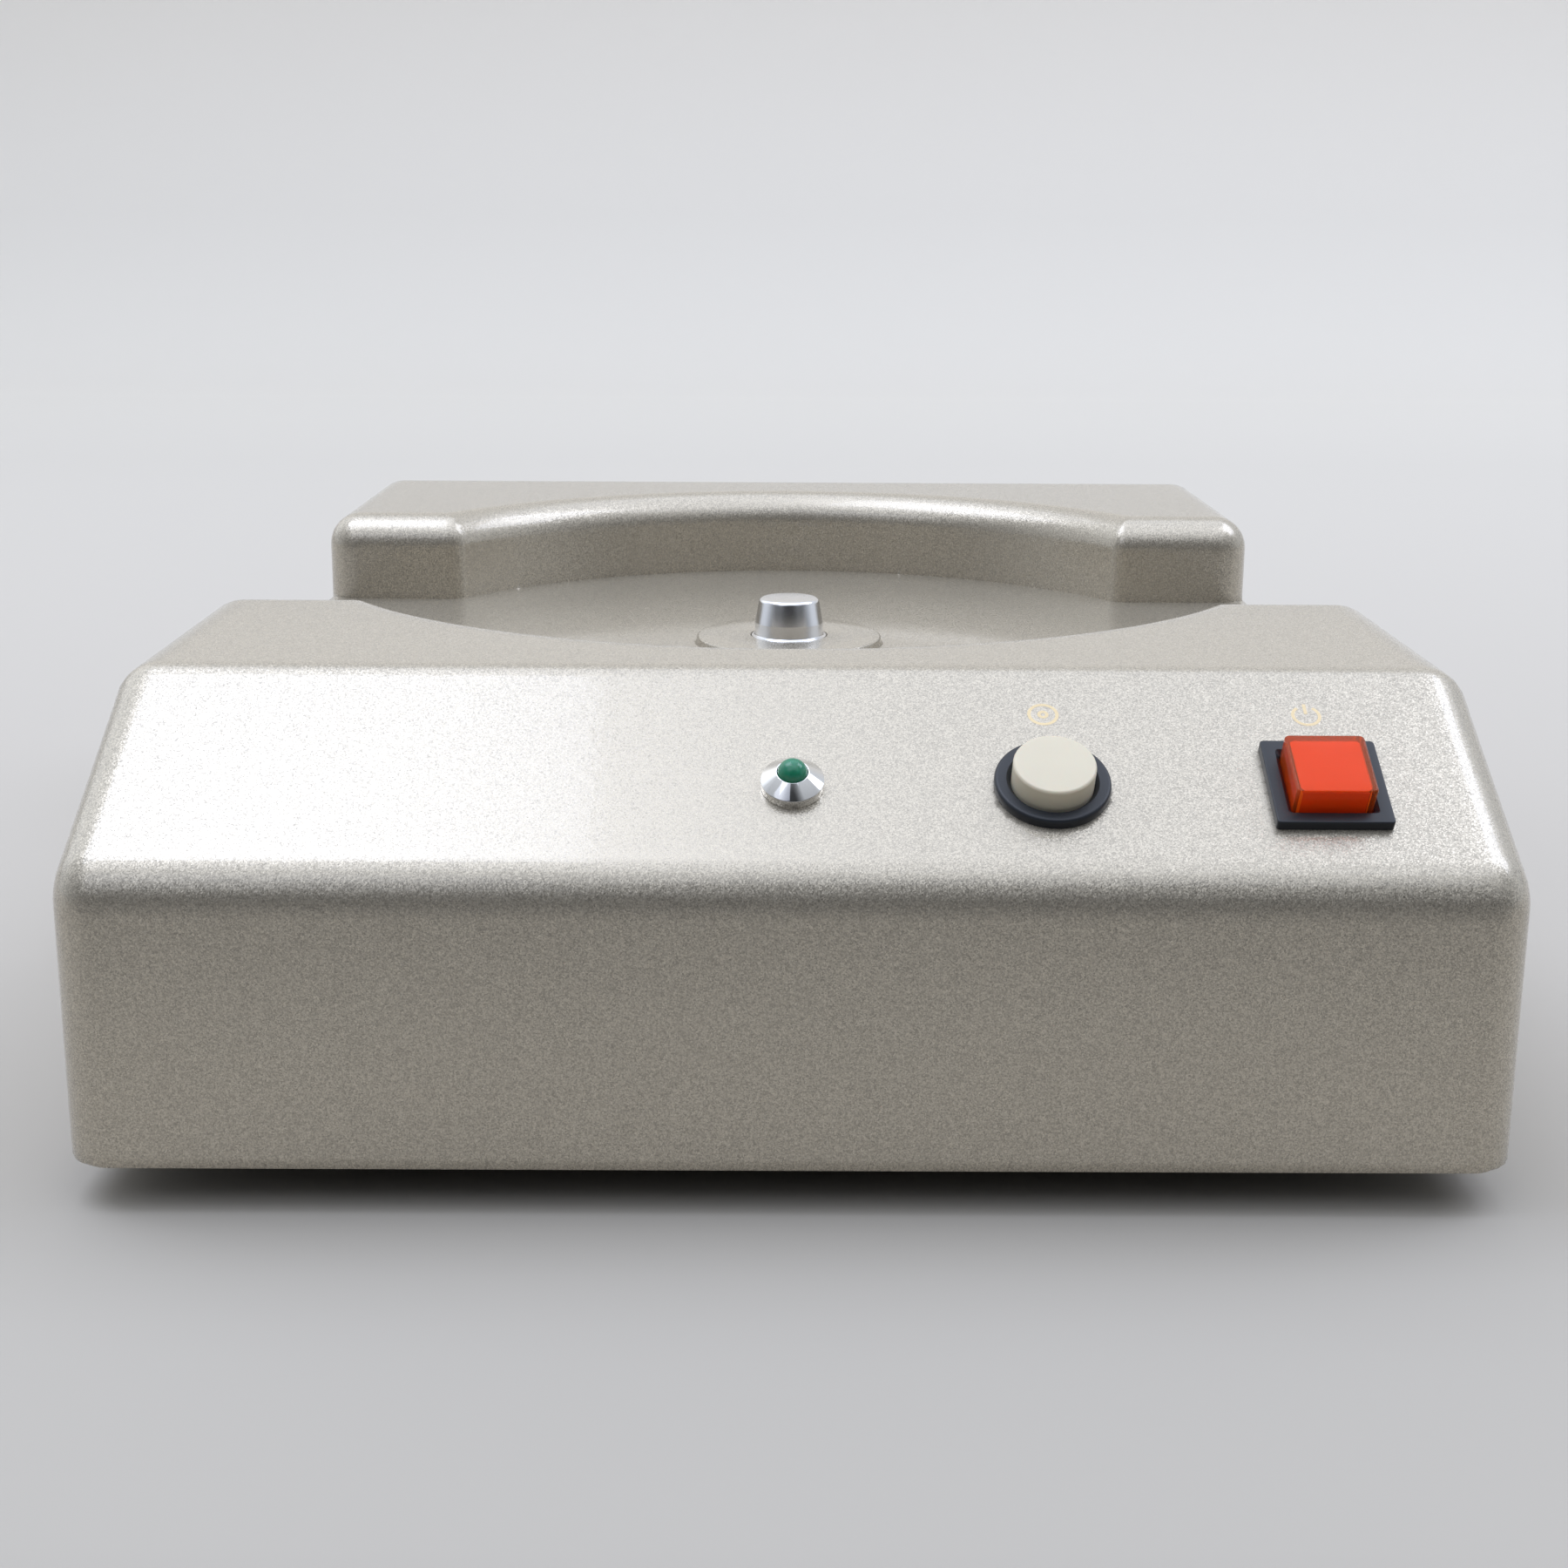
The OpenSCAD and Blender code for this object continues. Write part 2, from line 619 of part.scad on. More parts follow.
module power_lens() color("#e0301e", 0.8) on_panel(power_x) difference() {
    inner_w = power_lens_w - 2 * lens_wall;
    translate([0, 0, button_stop]) block([power_lens_w, power_lens_w, power_out - button_stop]);
    translate([0, 0, button_stop - over_cut])
        block([inner_w, inner_w, power_out - lens_wall - button_stop + over_cut]);
}
module power_diffuser() color("#ff6a3c") on_panel(power_x) translate([0, 0, button_stop]) {
    w = power_lens_w - 2 * (lens_wall + seat_gap);
    block([w, w, power_out - lens_wall - seat_gap - button_stop]);
}
module power_plunger() color("#3a3d42") on_panel(power_x) translate([0, 0, button_spring_top])
    block([power_chamber_w - 2 * slide_gap, power_chamber_w - 2 * slide_gap, button_flange_t]);
module power_spring() color("#b5b7ba") on_panel(power_x) spring(power_floor, button_spring_top, 6);
module power_terminals() color("#d8c48a") on_panel(power_x) tags(power_end, [-tag_x, tag_x]);

// Coil
module coil_bobbin() color("#e3ddcf") at_disc() translate([0, 0, coil_low_z]) rotate_extrude() {
    outer = coil_d / 2;
    inner = coil_bore_d / 2;
    polygon([[inner, 0], [outer, 0], [outer, coil_wall], [inner + coil_wall, coil_wall],
        [inner + coil_wall, coil_h - coil_wall], [outer, coil_h - coil_wall],
        [outer, coil_h], [inner, coil_h]]);
}
module coil_winding() color("#a4552b") at_disc()
    translate([0, 0, coil_low_z + coil_wall + seat_gap]) rotate_extrude()
        translate([coil_bore_d / 2 + coil_wall + seat_gap, 0])
            square([(coil_d - coil_bore_d) / 2 - 2 * coil_wall, coil_h - 2 * (coil_wall + seat_gap)]);
module coil_clips() color("#c2c4c6") at_disc()
    translate([0, 0, coil_low_z - clip_t]) coil_places() difference() {
        translate([-boss_r - clip_reach, -clip_w / 2, 0])
            cube([2 * boss_r + clip_reach, clip_w, clip_t]);
        translate([0, 0, -over_cut]) cylinder(r = screw_hole_r, h = clip_t + 2 * over_cut);
    }
module coil_screws() color("#8d8f92") at_disc() translate([0, 0, coil_low_z - clip_t])
    coil_places() pan_screw(clip_t + pilot_depth - 2);

// Circuit board
module control_board() color("#2f6b45") in_case() translate([board_x, board_y, board_low_z]) difference() {
    cube([board_w, board_d, board_t]);
    translate([0, 0, -over_cut]) board_places() cylinder(r = screw_hole_r, h = board_t + 2 * over_cut);
}
module board_standoffs() color("#c9a94f") in_case() translate([board_x, board_y, base_top_z])
    board_places() hex_nut(nut_r, screw_hole_r, standoff_h);
module board_screws() color("#8d8f92") in_case() translate([board_x, board_y, board_z])
    board_places() mirror([0, 0, 1]) pan_screw(board_t + standoff_h / 2);
module charge_capacitors() color("#2b3a66") on_board()
    for (k = [0 : cans - 1]) translate([can_at.x + k * can_step, can_at.y, 0]) can();
module can() {
    neck_r = can_r - can_groove;
    rotate_extrude() polygon([[0, 0], [can_r, 0], [can_r, can_groove_z],
        [neck_r, can_groove_z + can_groove], [neck_r, can_groove_z + 2 * can_groove],
        [can_r, can_groove_z + 3 * can_groove], [can_r, can_h - can_bevel],
        [can_r - can_bevel, can_h], [0, can_h]]);
}
module film_capacitor() color("#c9a23a") on_board() translate(film_at) block(film_size);
module heat_sink() color("#3b3d40") on_board() translate(sink_at) {
    for (k = [0 : fins - 1]) translate([fin_step * k, 0, 0]) cube([fin_t, fin_l, sink_h]);
    translate([0, fin_l, 0]) cube([sink_w, sink_back, sink_h]);
}
module thyristor() color("#26272a") on_board()
    translate([sink_at.x + sink_w / 2, sink_at.y + fin_l + sink_back, 0]) {
        tab = [10, 1.3, 15];
        body = [10, 4.5, 9];
        leg = [0.8, 0.6, 3];
        leg_step = 2.5;
        translate([-tab.x / 2, 0, leg.z]) cube(tab);
        translate([-body.x / 2, 0, leg.z]) cube(body);
        for (k = [-1 : 1]) translate([leg_step * k - leg.x / 2, body.y / 2, 0]) cube(leg);
    }
module control_ic() color("#26272a") on_board() translate(chip_at) {
    leg_step = 2.54;
    translate([0, 0, 1]) block(chip_size);
    for (k = [-1.5 : 1.5], side = [-1, 1])
        translate([leg_step * k, side * (chip_size.y + chip_leg.y) / 2, 0]) block(chip_leg);
}
module board_resistors() color("#cdb48c") on_board() for (k = [0 : resistors - 1])
    translate([resistor_at.x + resistor_step * k, resistor_at.y, resistor_r + seat_gap])
        rotate([-90, 0, 0]) cylinder(r = resistor_r, h = resistor_l);
module relay() color("#e9e6dc") on_board() translate(relay_at) block(relay_size);
module terminal_block() color("#2f7f5a") on_board() translate(terminal_at) difference() {
    block(terminal_size);
    for (k = [-2 : 2]) translate([0, terminal_step * k, terminal_size.z / 2])
        cylinder(r = terminal_hole_r, h = terminal_size.z);
}

// Transformer
module transformer_core() color("#6f7073") at_trafo() translate([0, 0, strap_t]) difference() {
    block([core_w, core_d, core_h]);
    for (side = [-1, 1]) translate([side * core_w / 4, 0, core_leg])
        block([core_w / 2 - 2 * core_leg, 2 * core_d, core_h - 2 * core_leg]);
}
module transformer_winding() color("#b98a3c") at_trafo()
    translate([0, 0, strap_t + core_leg + seat_gap]) difference() {
        box_w = core_w - 2 * core_leg - 2 * seat_gap;
        block([box_w, coil_box_d, core_h - 2 * core_leg - 2 * seat_gap]);
        translate([0, 0, -over_cut]) block([2 * core_leg + 2 * seat_gap, core_d + 2 * seat_gap, core_h]);
    }
module transformer_bracket() color("#9b9da0") at_trafo() difference() {
    union() {
        block([core_w + 2 * strap_foot + 2 * strap_t, core_d, strap_t]);
        for (side = [-1, 1]) translate([side * (core_w / 2 + strap_t / 2), 0, 0])
            block([strap_t, core_d, core_h + 2 * strap_t]);
        translate([0, 0, core_h + strap_t]) block([core_w + 2 * strap_t, core_d, strap_t]);
    }
    strap_places() translate([0, 0, -over_cut]) cylinder(r = screw_hole_r, h = strap_t + 2 * over_cut);
}
module strap_places() for (side = [-1, 1])
    translate([side * (core_w / 2 + strap_t + strap_foot / 2), 0, 0]) children();
module transformer_screws() color("#8d8f92") at_trafo() strap_places() translate([0, 0, strap_t])
    mirror([0, 0, 1]) pan_screw(strap_t + base_t);

// Mains inlet
module upright(size) translate([-size.x / 2, -size.y, -size.z / 2]) cube(size);
module mains_inlet() color("#1b1c1f") at_rear() difference() {
    union() {
        translate([0, inlet_flange_t, 0]) upright([inlet_w, inlet_flange_t, inlet_h]);
        upright([inlet_body_w, inlet_body_d, inlet_body_h]);
    }
    translate([0, inlet_flange_t + over_cut, socket_z]) upright([socket_w, socket_d + over_cut, socket_h]);
    translate([0, inlet_flange_t + over_cut, drawer_z])
        upright([drawer_w + 2 * slide_gap, drawer_d + over_cut + slide_gap, drawer_h + 2 * slide_gap]);
    pin_places() pin(seat_gap);
    for (side = [-1, 1]) translate([side * inlet_screw_x, 0, 0])
        rotate([90, 0, 0]) cylinder(r = screw_hole_r, h = 4 * inlet_flange_t, center = true);
}
module pin_places() for (p = [[-pin_x, -pin_z], [pin_x, -pin_z], [0, pin_z]])
    translate([p[0], inlet_flange_t, socket_z + p[1]]) children();
module pin(gap) translate([0, -pin_in, 0])
    upright([pin_w + 2 * gap, inlet_flange_t + inlet_body_d + pin_back - pin_in, pin_h + 2 * gap]);
module inlet_pins() color("#d0d1d3") at_rear() pin_places() pin(0);
module inlet_screws() color("#8d8f92") at_rear() for (side = [-1, 1])
    translate([side * inlet_screw_x, inlet_flange_t, 0]) rotate([90, 0, 0])
        pan_screw(inlet_flange_t + wall + nut_h + 1);
module inlet_nuts() color("#b9bbbd") at_rear() for (side = [-1, 1])
    translate([side * inlet_screw_x, -wall - seat_gap, 0]) rotate([90, 0, 0])
        hex_nut(nut_r, screw_hole_r, nut_h);
module fuse_drawer() color("#2a2b2f") at_rear() translate([0, inlet_flange_t, drawer_z]) difference() {
    upright([drawer_w, drawer_d, drawer_h]);
    translate([0, -fuse_in, drawer_h / 2])
        upright([fuse_l + 2 * fuse_gap, 2 * (fuse_r + fuse_gap), 2 * (drawer_h - drawer_floor_t)]);
    translate([0, over_cut, drawer_h / 2]) upright([grip.x, grip.y + over_cut, grip.z]);
}
module fuse() color("#cfd3d6") at_rear()
    translate([0, inlet_flange_t - fuse_in - fuse_gap - fuse_r, drawer_z - drawer_h / 2 + fuse_z])
        rotate([0, 90, 0]) {
            cylinder(r = fuse_r, h = fuse_l - fuse_cap_l, center = true);
            for (side = [-1, 1]) translate([0, 0, side * (fuse_l - fuse_cap_l) / 2])
                cylinder(r = fuse_r + fuse_cap_out, h = fuse_cap_l, center = true);
        }

// Ends of the leads: under a switch tag, behind an inlet pin, beside the terminal block, over the board
function tag_end(x, end, side, row, out) = panel_point(x + side * tag_x, row, end - tag_l - out);
function pin_end(side, out) = [
    inlet_x + side * pin_x, case_d - inlet_body_d - pin_back - out, inlet_z + socket_z - pin_z];
function terminal_end(k, out) = [board_x + terminal_at.x + terminal_size.x / 2 + out,
    board_y + terminal_at.y + terminal_step * k, board_z + terminal_size.z / 2];
function board_end(at, out) = [board_x + at.x, board_y + at.y, board_z + out];

// Leads, each from one end to the other, in pairs
module mains_leads() color("#6b4a2e") for (side = [-1, 1]) {
    run_x = case_w / 2 - 11 + 2.5 * side;
    lead([pin_end(side, end_gap), pin_end(side, 4), [inlet_x + 14 + 3 * side, case_d - 44, 24],
        [run_x, case_d - 70, 12], [run_x, disc_c, 10], [run_x, 70, 10], [power_x + 6 + 5 * side, 44, 13],
        tag_end(power_x, power_end, side, tag_x, 5), tag_end(power_x, power_end, side, tag_x, end_gap)]);
}
module switch_leads() color("#b23b2e") for (side = [-1, 1]) {
    way = side < 0 ? -2 : -1;
    lead([tag_end(power_x, power_end, side, -tag_x, end_gap), tag_end(power_x, power_end, side, -tag_x, 5),
        [46 + 2 * side, 28 + 2 * side, 12 + 2 * side], terminal_end(way, 8), terminal_end(way, end_gap)]);
}
module erase_leads() color("#d9d6cc") for (side = [-1, 1]) {
    way = side < 0 ? 0 : 1;
    lead([tag_end(erase_x, erase_end, side, 0, end_gap), tag_end(erase_x, erase_end, side, 0, 5),
        terminal_end(way, 6), terminal_end(way, end_gap)]);
}
module led_leads() color("#3f8f5a") for (side = [-1, 1]) {
    foot = [71 + 2 * side, 9.5];
    lead([panel_point(led_x + side * led_lead_x, 0, -led_lead_out - wall - end_gap),
        panel_point(led_x + 1.5 * side * led_lead_x, 0, -led_lead_out - wall - 4),
        board_end(foot, 8), board_end(foot, end_gap)]);
}
module coil_leads() color("#9c4f27") for (side = [-1, 1]) {
    from = [8 * side - 7, disc_c - coil_d / 2 + 5];
    foot = [57 + 8 * side, 46];
    lead([[from.x, from.y, coil_low_z - end_gap], [from.x, from.y, coil_low_z - 3],
        [from.x, board_y + board_d + 5, board_z + 1], board_end(foot, 4), board_end(foot, end_gap)]);
}
module transformer_leads() color("#c79a3a") for (side = [-1, 1]) {
    foot = [12 + 2 * side, 46];
    from = [trafo_x + 4 * side, trafo_y - coil_box_d / 2];
    run_x = -76 + 2.5 * side;
    lead([[from.x, from.y - end_gap, 18], [from.x, from.y - 4, 17], [from.x - 14, from.y - 9, 7],
        [run_x, disc_c + 28, 7], [run_x, disc_c, 7], [run_x, disc_c - 34, 8],
        [board_x + foot.x - 3, board_y + board_d + 8, board_z + 5],
        board_end(foot, 5), board_end(foot, end_gap)]);
}

top_shell();
base_plate();
base_screws();
foot_front_left();
foot_front_right();
foot_rear_left();
foot_rear_right();
foot_screws();
foot_nuts();
disc_spindle();
spindle_washer();
spindle_nut();
led_bezel();
led_nut();
led_lamp();
erase_housing();
erase_nut();
erase_cap();
erase_plunger();
erase_spring();
erase_terminals();
power_housing();
power_lens();
power_diffuser();
power_plunger();
power_spring();
power_terminals();
coil_bobbin();
coil_winding();
coil_clips();
coil_screws();
control_board();
board_standoffs();
board_screws();
charge_capacitors();
film_capacitor();
heat_sink();
thyristor();
control_ic();
board_resistors();
relay();
terminal_block();
transformer_core();
transformer_winding();
transformer_bracket();
transformer_screws();
mains_inlet();
inlet_pins();
inlet_screws();
inlet_nuts();
fuse_drawer();
fuse();
mains_leads();
switch_leads();
erase_leads();
led_leads();
coil_leads();
transformer_leads();
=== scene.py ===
"""Looks of the disc demagnetizer: painted case, lamp, buttons, spindle, mains inlet and their materials."""

import json
import math

import bmesh
import bpy
import numpy as np
from mathutils import Matrix, Vector


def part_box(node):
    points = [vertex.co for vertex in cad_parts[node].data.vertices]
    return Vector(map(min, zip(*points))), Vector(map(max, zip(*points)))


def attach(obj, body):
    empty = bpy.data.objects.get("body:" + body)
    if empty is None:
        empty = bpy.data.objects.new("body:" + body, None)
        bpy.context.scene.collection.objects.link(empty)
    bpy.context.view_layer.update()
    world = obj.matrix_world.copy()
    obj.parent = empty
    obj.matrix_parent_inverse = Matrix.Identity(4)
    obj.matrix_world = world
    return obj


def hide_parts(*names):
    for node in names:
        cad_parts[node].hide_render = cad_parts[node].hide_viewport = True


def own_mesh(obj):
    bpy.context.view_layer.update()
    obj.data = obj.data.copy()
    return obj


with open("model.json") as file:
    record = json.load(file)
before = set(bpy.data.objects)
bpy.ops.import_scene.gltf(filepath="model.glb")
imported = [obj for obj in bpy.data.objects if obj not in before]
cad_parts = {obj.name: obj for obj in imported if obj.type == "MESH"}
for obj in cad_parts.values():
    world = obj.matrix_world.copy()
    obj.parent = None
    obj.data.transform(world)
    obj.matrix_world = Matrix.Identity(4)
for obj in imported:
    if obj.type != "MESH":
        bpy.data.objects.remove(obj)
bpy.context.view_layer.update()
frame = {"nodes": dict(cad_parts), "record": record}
MM = 0.001

# Case, in millimetres: x across, y back from the front wall, z up from the lower rim
CASE_W = 174.0
CASE_D = 221.0
CASE_H = 54.7
FRONT_H = 36.4
PANEL_RUN = 32.5
EDGE_R = 6.0
FOLD_R = 8.0
WALL = 3.0
FLARE = 0.6
SLOPE = math.atan2(CASE_H - FRONT_H, PANEL_RUN)
SHELL_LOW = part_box("top_shell")[0]
CASE_ORIGIN = Vector((0.0, SHELL_LOW.y, SHELL_LOW.z))

# Disc recess
DISC_Y = 122.3
RECESS_R = 73.5
RECESS_DEPTH = 15.5
CHANNEL_HALF = 39.75
FLOOR_Z = CASE_H - RECESS_DEPTH
HORN_R = 3.5
FLOOR_EDGE_R = 1.2
RIM_EDGE_R = 0.5
SEAT_R = 15.75
SEAT_H = 1.6
SEAT_SUNK = 0.2
SEAT_SKIRT = 0.9
SEAT_SKIRT_H = 0.01
SEAT_DRAFT = 0.1
SEAT_DISH_R = 6.55
SPINDLE_R = 5.8
SPINDLE_TOP_R = 5.0
SPINDLE_H = 6.3
SPINDLE_COLLAR_H = 2.2
SPINDLE_FLANGE_R = 6.4
SPINDLE_FLANGE_T = 0.5
SPINDLE_STUD_R = 3.0
SPINDLE_STUD_L = 11.6

# Controls on the sloping panel
ROW_S = 15.7
LED_X = 0.0
ERASE_X = 31.3
POWER_X = 64.2
LED_BEZEL_R = 3.85
LED_BEZEL_H = 2.4
LED_RIM_H = 1.1
LED_LIP = 0.12
LED_LENS_R = 1.85
LED_BARREL_R = 2.85
LED_BARREL_L = 9.0
ERASE_BEZEL_R = 7.05
ERASE_CAP_R = 5.0
ERASE_OUT = 4.0
ERASE_BARREL_R = 6.18
ERASE_FLOOR = -9.45
ERASE_POST_R = 2.65
ERASE_ROOF = 2.0
ERASE_DOME = 0.02
POWER_BEZEL_HALF = 7.0
POWER_LENS_HALF = 4.85
POWER_OUT = 4.3
POWER_BODY_HALF = 6.13
POWER_FLOOR = -11.05
BEZEL_T = 1.3
MOUTH_L = 3.0
MOUTH_BEVEL = 0.5
MOUTH_BEVEL_H = 0.6
BUTTON_STOP = -3.05
BUTTON_FLOOR_T = 3.0
SLIDE_GAP = 0.08
CHAMBER_OUT = 0.5
HOLE_GAP = 0.15
LENS_WALL = 0.6
CORE_GAP = 0.05
LED_GAP = 0.05
MARK_UP = 12.8
MARK_LINE = 0.42
MARK_THICK = 0.012
SPRING_TOP = -5.05
SPRING_R = 3.2
SPRING_WIRE_R = 0.25
SPRING_END_GAP = 0.05
ERASE_SPRING_TURNS = 5
POWER_SPRING_TURNS = 6

# Mains inlet in the rear wall
INLET_X = 38.0
INLET_Z = 19.9
INLET_W = 50.0
INLET_H = 36.0
INLET_T = 2.0
INLET_BODY_W = 28.0
INLET_BODY_H = 30.6
INLET_BODY_D = 24.0
INLET_FIT = 0.15
INLET_CORNER_R = 1.2
INLET_EDGE_R = 0.5
INLET_SCREW_X = 20.0
INLET_SCREW_L = 8.4
SOCKET_W = 24.2
SOCKET_H = 16.8
SOCKET_D = 16.0
SOCKET_Z = 5.3
SOCKET_CUT = 4.0
SOCKET_CORNER_R = 0.8
SOCKET_EDGE_R = 0.35
DRAWER_W = 24.0
DRAWER_H = 9.0
DRAWER_D = 22.0
DRAWER_Z = -9.2
PINS = ((-7.0, -2.0), (7.0, -2.0), (0.0, 2.0))
PIN_W = 2.0
PIN_H = 4.0
PIN_GAP = 0.05
SCREW_R = 1.45
SCREW_HOLE_R = 1.5
SCREW_HEAD_R = 2.85
SCREW_HEAD_H = 2.1
CROSS_ARM = 1.7
CROSS_HALF = 0.4
CROSS_DEPTH = 1.2
CROSS_TAPER = 0.8
SCREW_DOME_R = 1.1

# Meshes of the distance fields: cell sizes, and how their vertices and normals are found
CASE_CELL = 1.25
INLET_CELL = 0.5
SCREW_CELL = 0.17
CASE_MARGIN = 1.7
INLET_MARGIN = 0.7
NORMAL_STEP = 0.02
HALVINGS = 12
CENTRE_PULL = 0.02
EDGE_TURN = math.radians(25.0)
SHARP_TURN = math.radians(35.0)
STRAY_TURN = math.radians(50.0)
EDGE_INSET = 0.35

# Photograph's frame: camera fitted to the case's edges, image taken as square
IMAGE_PX = 1800.0
FOCAL_PX = 2410.88
SENSOR_MM = 36.0
CAMERA_AT = Vector((-1.74, -230.16, 111.89))
CAMERA_PITCH = math.radians(15.489)
CAMERA_YAW = math.radians(0.17)
CAMERA_ROLL = math.radians(-0.312)

# Floor colour along y in metres: pale round the part; painted shade darkens it towards the viewer, and
# painted light makes it paler up the backdrop behind
FLOOR_TONES_PAINTED_LIGHT_AND_SHADE = (
    (-0.276, (0.18, 0.171, 0.157)),
    (-0.177, (0.432, 0.404, 0.357)),
    (0.12, (0.505, 0.472, 0.42)),
    (0.65, (0.61, 0.576, 0.518)),
    (1.03, (0.735, 0.697, 0.63)),
    (1.22, (0.85, 0.807, 0.731)),
    (1.3, (0.96, 0.912, 0.826)),
)

# Floor that curves up into a backdrop, in metres
FLOOR_HALF_W = 3.0
FLOOR_FRONT = -3.0
FLOOR_BACK = 1.3
FLOOR_BEND = 0.32

# Level soft boxes overhead: left, right, front, back and height in metres, and brightness
LAMP_COLOR = (0.885, 0.96, 1.18)
SOFT_BOXES = {
    "overhead": (-0.75, 0.8, -0.7, 0.8, 1.15, 0.735),
    "left_box": (-0.95, -0.12, -0.32, 0.32, 1.1, 2.38),
    "right_box": (0.58, 1.5, -0.15, 0.55, 1.05, 2.9),
    "front_box": (-1.0, 0.6, -1.35, -0.75, 1.1, 0.45),
    "front_left_box": (-1.2, -0.2, -1.8, -0.9, 1.05, 0.45),
}

# Sky: cool round the viewer, warm behind the part, with a glow behind it to the left
SKY_COOL = (0.91, 0.97, 1.07, 1)
SKY_WARM = (1.0, 0.975, 0.94, 1)
TO_VIEWER = (0.0, -0.94, 0.342)
TO_GLOW = (-0.68, 0.5, 0.53)

# Ramps of the sky: start and end of the range, and the strength at each
SKY_RISE = (0.25, 0.85, 0.06, 1.05)
SKY_DIM = (0.85, 0.97, 1.0, 0.1)
SKY_BEHIND = (-0.7, 0.0, 0.0, 0.78)
SKY_GLOW = (0.8, 0.97, 0.0, 1.4)
SKY_WARMTH = (0.5, 0.95, 0.0, 1.0)


# Materials
class Shader:
    """A new material with its Principled shader, and short ways to add nodes to it."""

    def __init__(self, name, **sockets):
        """Sockets of the shader are named with _ for a space."""
        self.material = bpy.data.materials.new(name)
        self.material.use_nodes = True
        self.tree = self.material.node_tree
        self.bsdf = self.tree.nodes["Principled BSDF"]
        for socket, value in sockets.items():
            self.bsdf.inputs[socket.replace("_", " ")].default_value = value

    def add(self, kind, settings=None, **inputs):
        """New node with its settings, and its inputs linked or set."""
        node = self.tree.nodes.new(kind)
        for key, value in (settings or {}).items():
            setattr(node, key, value)
        for key, value in inputs.items():
            socket = node.inputs[key.replace("_", " ")]
            if isinstance(value, bpy.types.NodeSocket):
                self.tree.links.new(value, socket)
            else:
                socket.default_value = value
        return node

    def set(self, socket, source):
        """Links a node's output to the shader."""
        self.tree.links.new(source, self.bsdf.inputs[socket])

    def place(self):
        """Coordinates on the piece itself."""
        return self.add("ShaderNodeTexCoord").outputs["Object"]

    def noise(self, scale, detail=3.0, rough=0.55):
        """Cloudy pattern, in cycles a metre."""
        return self.add(
            "ShaderNodeTexNoise", Vector=self.place(), Scale=scale, Detail=detail, Roughness=rough)

    def spread(self, source, low, high):
        """Maps a 0 to 1 value to low..high."""
        return self.add("ShaderNodeMapRange", Value=source, To_Min=low, To_Max=high).outputs["Result"]

    def tint(self, factor, dark, light):
        """Colour between two close tones."""
        mix = self.add("ShaderNodeMix", {"data_type": "RGBA"})
        self.tree.links.new(factor, mix.inputs["Factor"])
        mix.inputs[6].default_value = (*dark, 1)
        mix.inputs[7].default_value = (*light, 1)
        return mix.outputs[2]

    def bump(self, height, depth_mm):
        """Normal of a pattern as high as depth_mm."""
        return self.add("ShaderNodeBump", Height=height, Distance=depth_mm * MM).outputs["Normal"]

    def vector(self, operation, first, second):
        """Vector sum, product and the like of an output and another, or a constant."""
        node = self.add("ShaderNodeVectorMath", {"operation": operation})
        for value, socket in zip((first, second), node.inputs):
            if isinstance(value, bpy.types.NodeSocket):
                self.tree.links.new(value, socket)
            else:
                socket.default_value = value
        return node.outputs["Vector"]


def shade(color, factor):
    """Colour made darker or lighter by a factor."""
    return tuple(c * factor for c in color)


def flake_paint(name, color):
    """Champagne-silver metallic paint: tilted flakes under a clear coat with a little orange peel."""
    s = Shader(name, Metallic=0.54, Coat_Weight=0.6, Coat_Roughness=0.07, Coat_IOR=1.5)
    flakes = s.add("ShaderNodeTexVoronoi", Vector=s.place(), Scale=7000.0)
    tone = s.add("ShaderNodeSeparateColor", Color=flakes.outputs["Color"])
    s.set("Base Color", s.tint(tone.outputs["Red"], shade(color, 0.68), shade(color, 1.32)))
    s.set("Roughness", s.spread(tone.outputs["Green"], 0.24, 0.34))
    centred = s.vector("SUBTRACT", flakes.outputs["Color"], (0.5, 0.5, 0.5))
    tilt = s.vector("MULTIPLY", centred, (0.18, 0.18, 0.18))
    lean = s.vector("ADD", tilt, s.add("ShaderNodeNewGeometry").outputs["Normal"])
    unit = s.add("ShaderNodeVectorMath", {"operation": "NORMALIZE"})
    s.tree.links.new(lean, unit.inputs[0])
    s.set("Normal", unit.outputs["Vector"])
    s.set("Coat Normal", s.bump(s.noise(700.0, 2.0).outputs["Fac"], 0.012))
    return s.material


def plastic(name, color, rough=0.4, grain_mm=0.4, depth_mm=0.01, vary=0.06, **sockets):
    """Moulded plastic: faint mottling, roughness that varies, and a fine moulded grain."""
    s = Shader(name, **sockets)
    mottle = s.noise(220.0).outputs["Fac"]
    s.set("Base Color", s.tint(mottle, shade(color, 1 - vary), shade(color, 1 + vary)))
    grain = s.noise(1.0 / (grain_mm * MM), 2.0).outputs["Fac"]
    s.set("Roughness", s.spread(grain, rough * 0.8, rough * 1.2))
    s.set("Normal", s.bump(grain, depth_mm))
    return s.material


def metal(name, color, rough=0.25, brush=(1.0, 1.0, 1.0), depth_mm=0.004, vary=0.08):
    """Metal with fine marks that run along the axis with the smallest brush value."""
    s = Shader(name, Metallic=1.0)
    stretched = s.vector("MULTIPLY", s.place(), brush)
    marks = s.add("ShaderNodeTexNoise", Vector=stretched, Scale=3200.0, Detail=3.0).outputs["Fac"]
    s.set("Base Color", s.tint(marks, shade(color, 1 - vary), shade(color, 1 + vary)))
    s.set("Roughness", s.spread(marks, rough * 0.75, rough * 1.25))
    s.set("Normal", s.bump(marks, depth_mm))
    return s.material


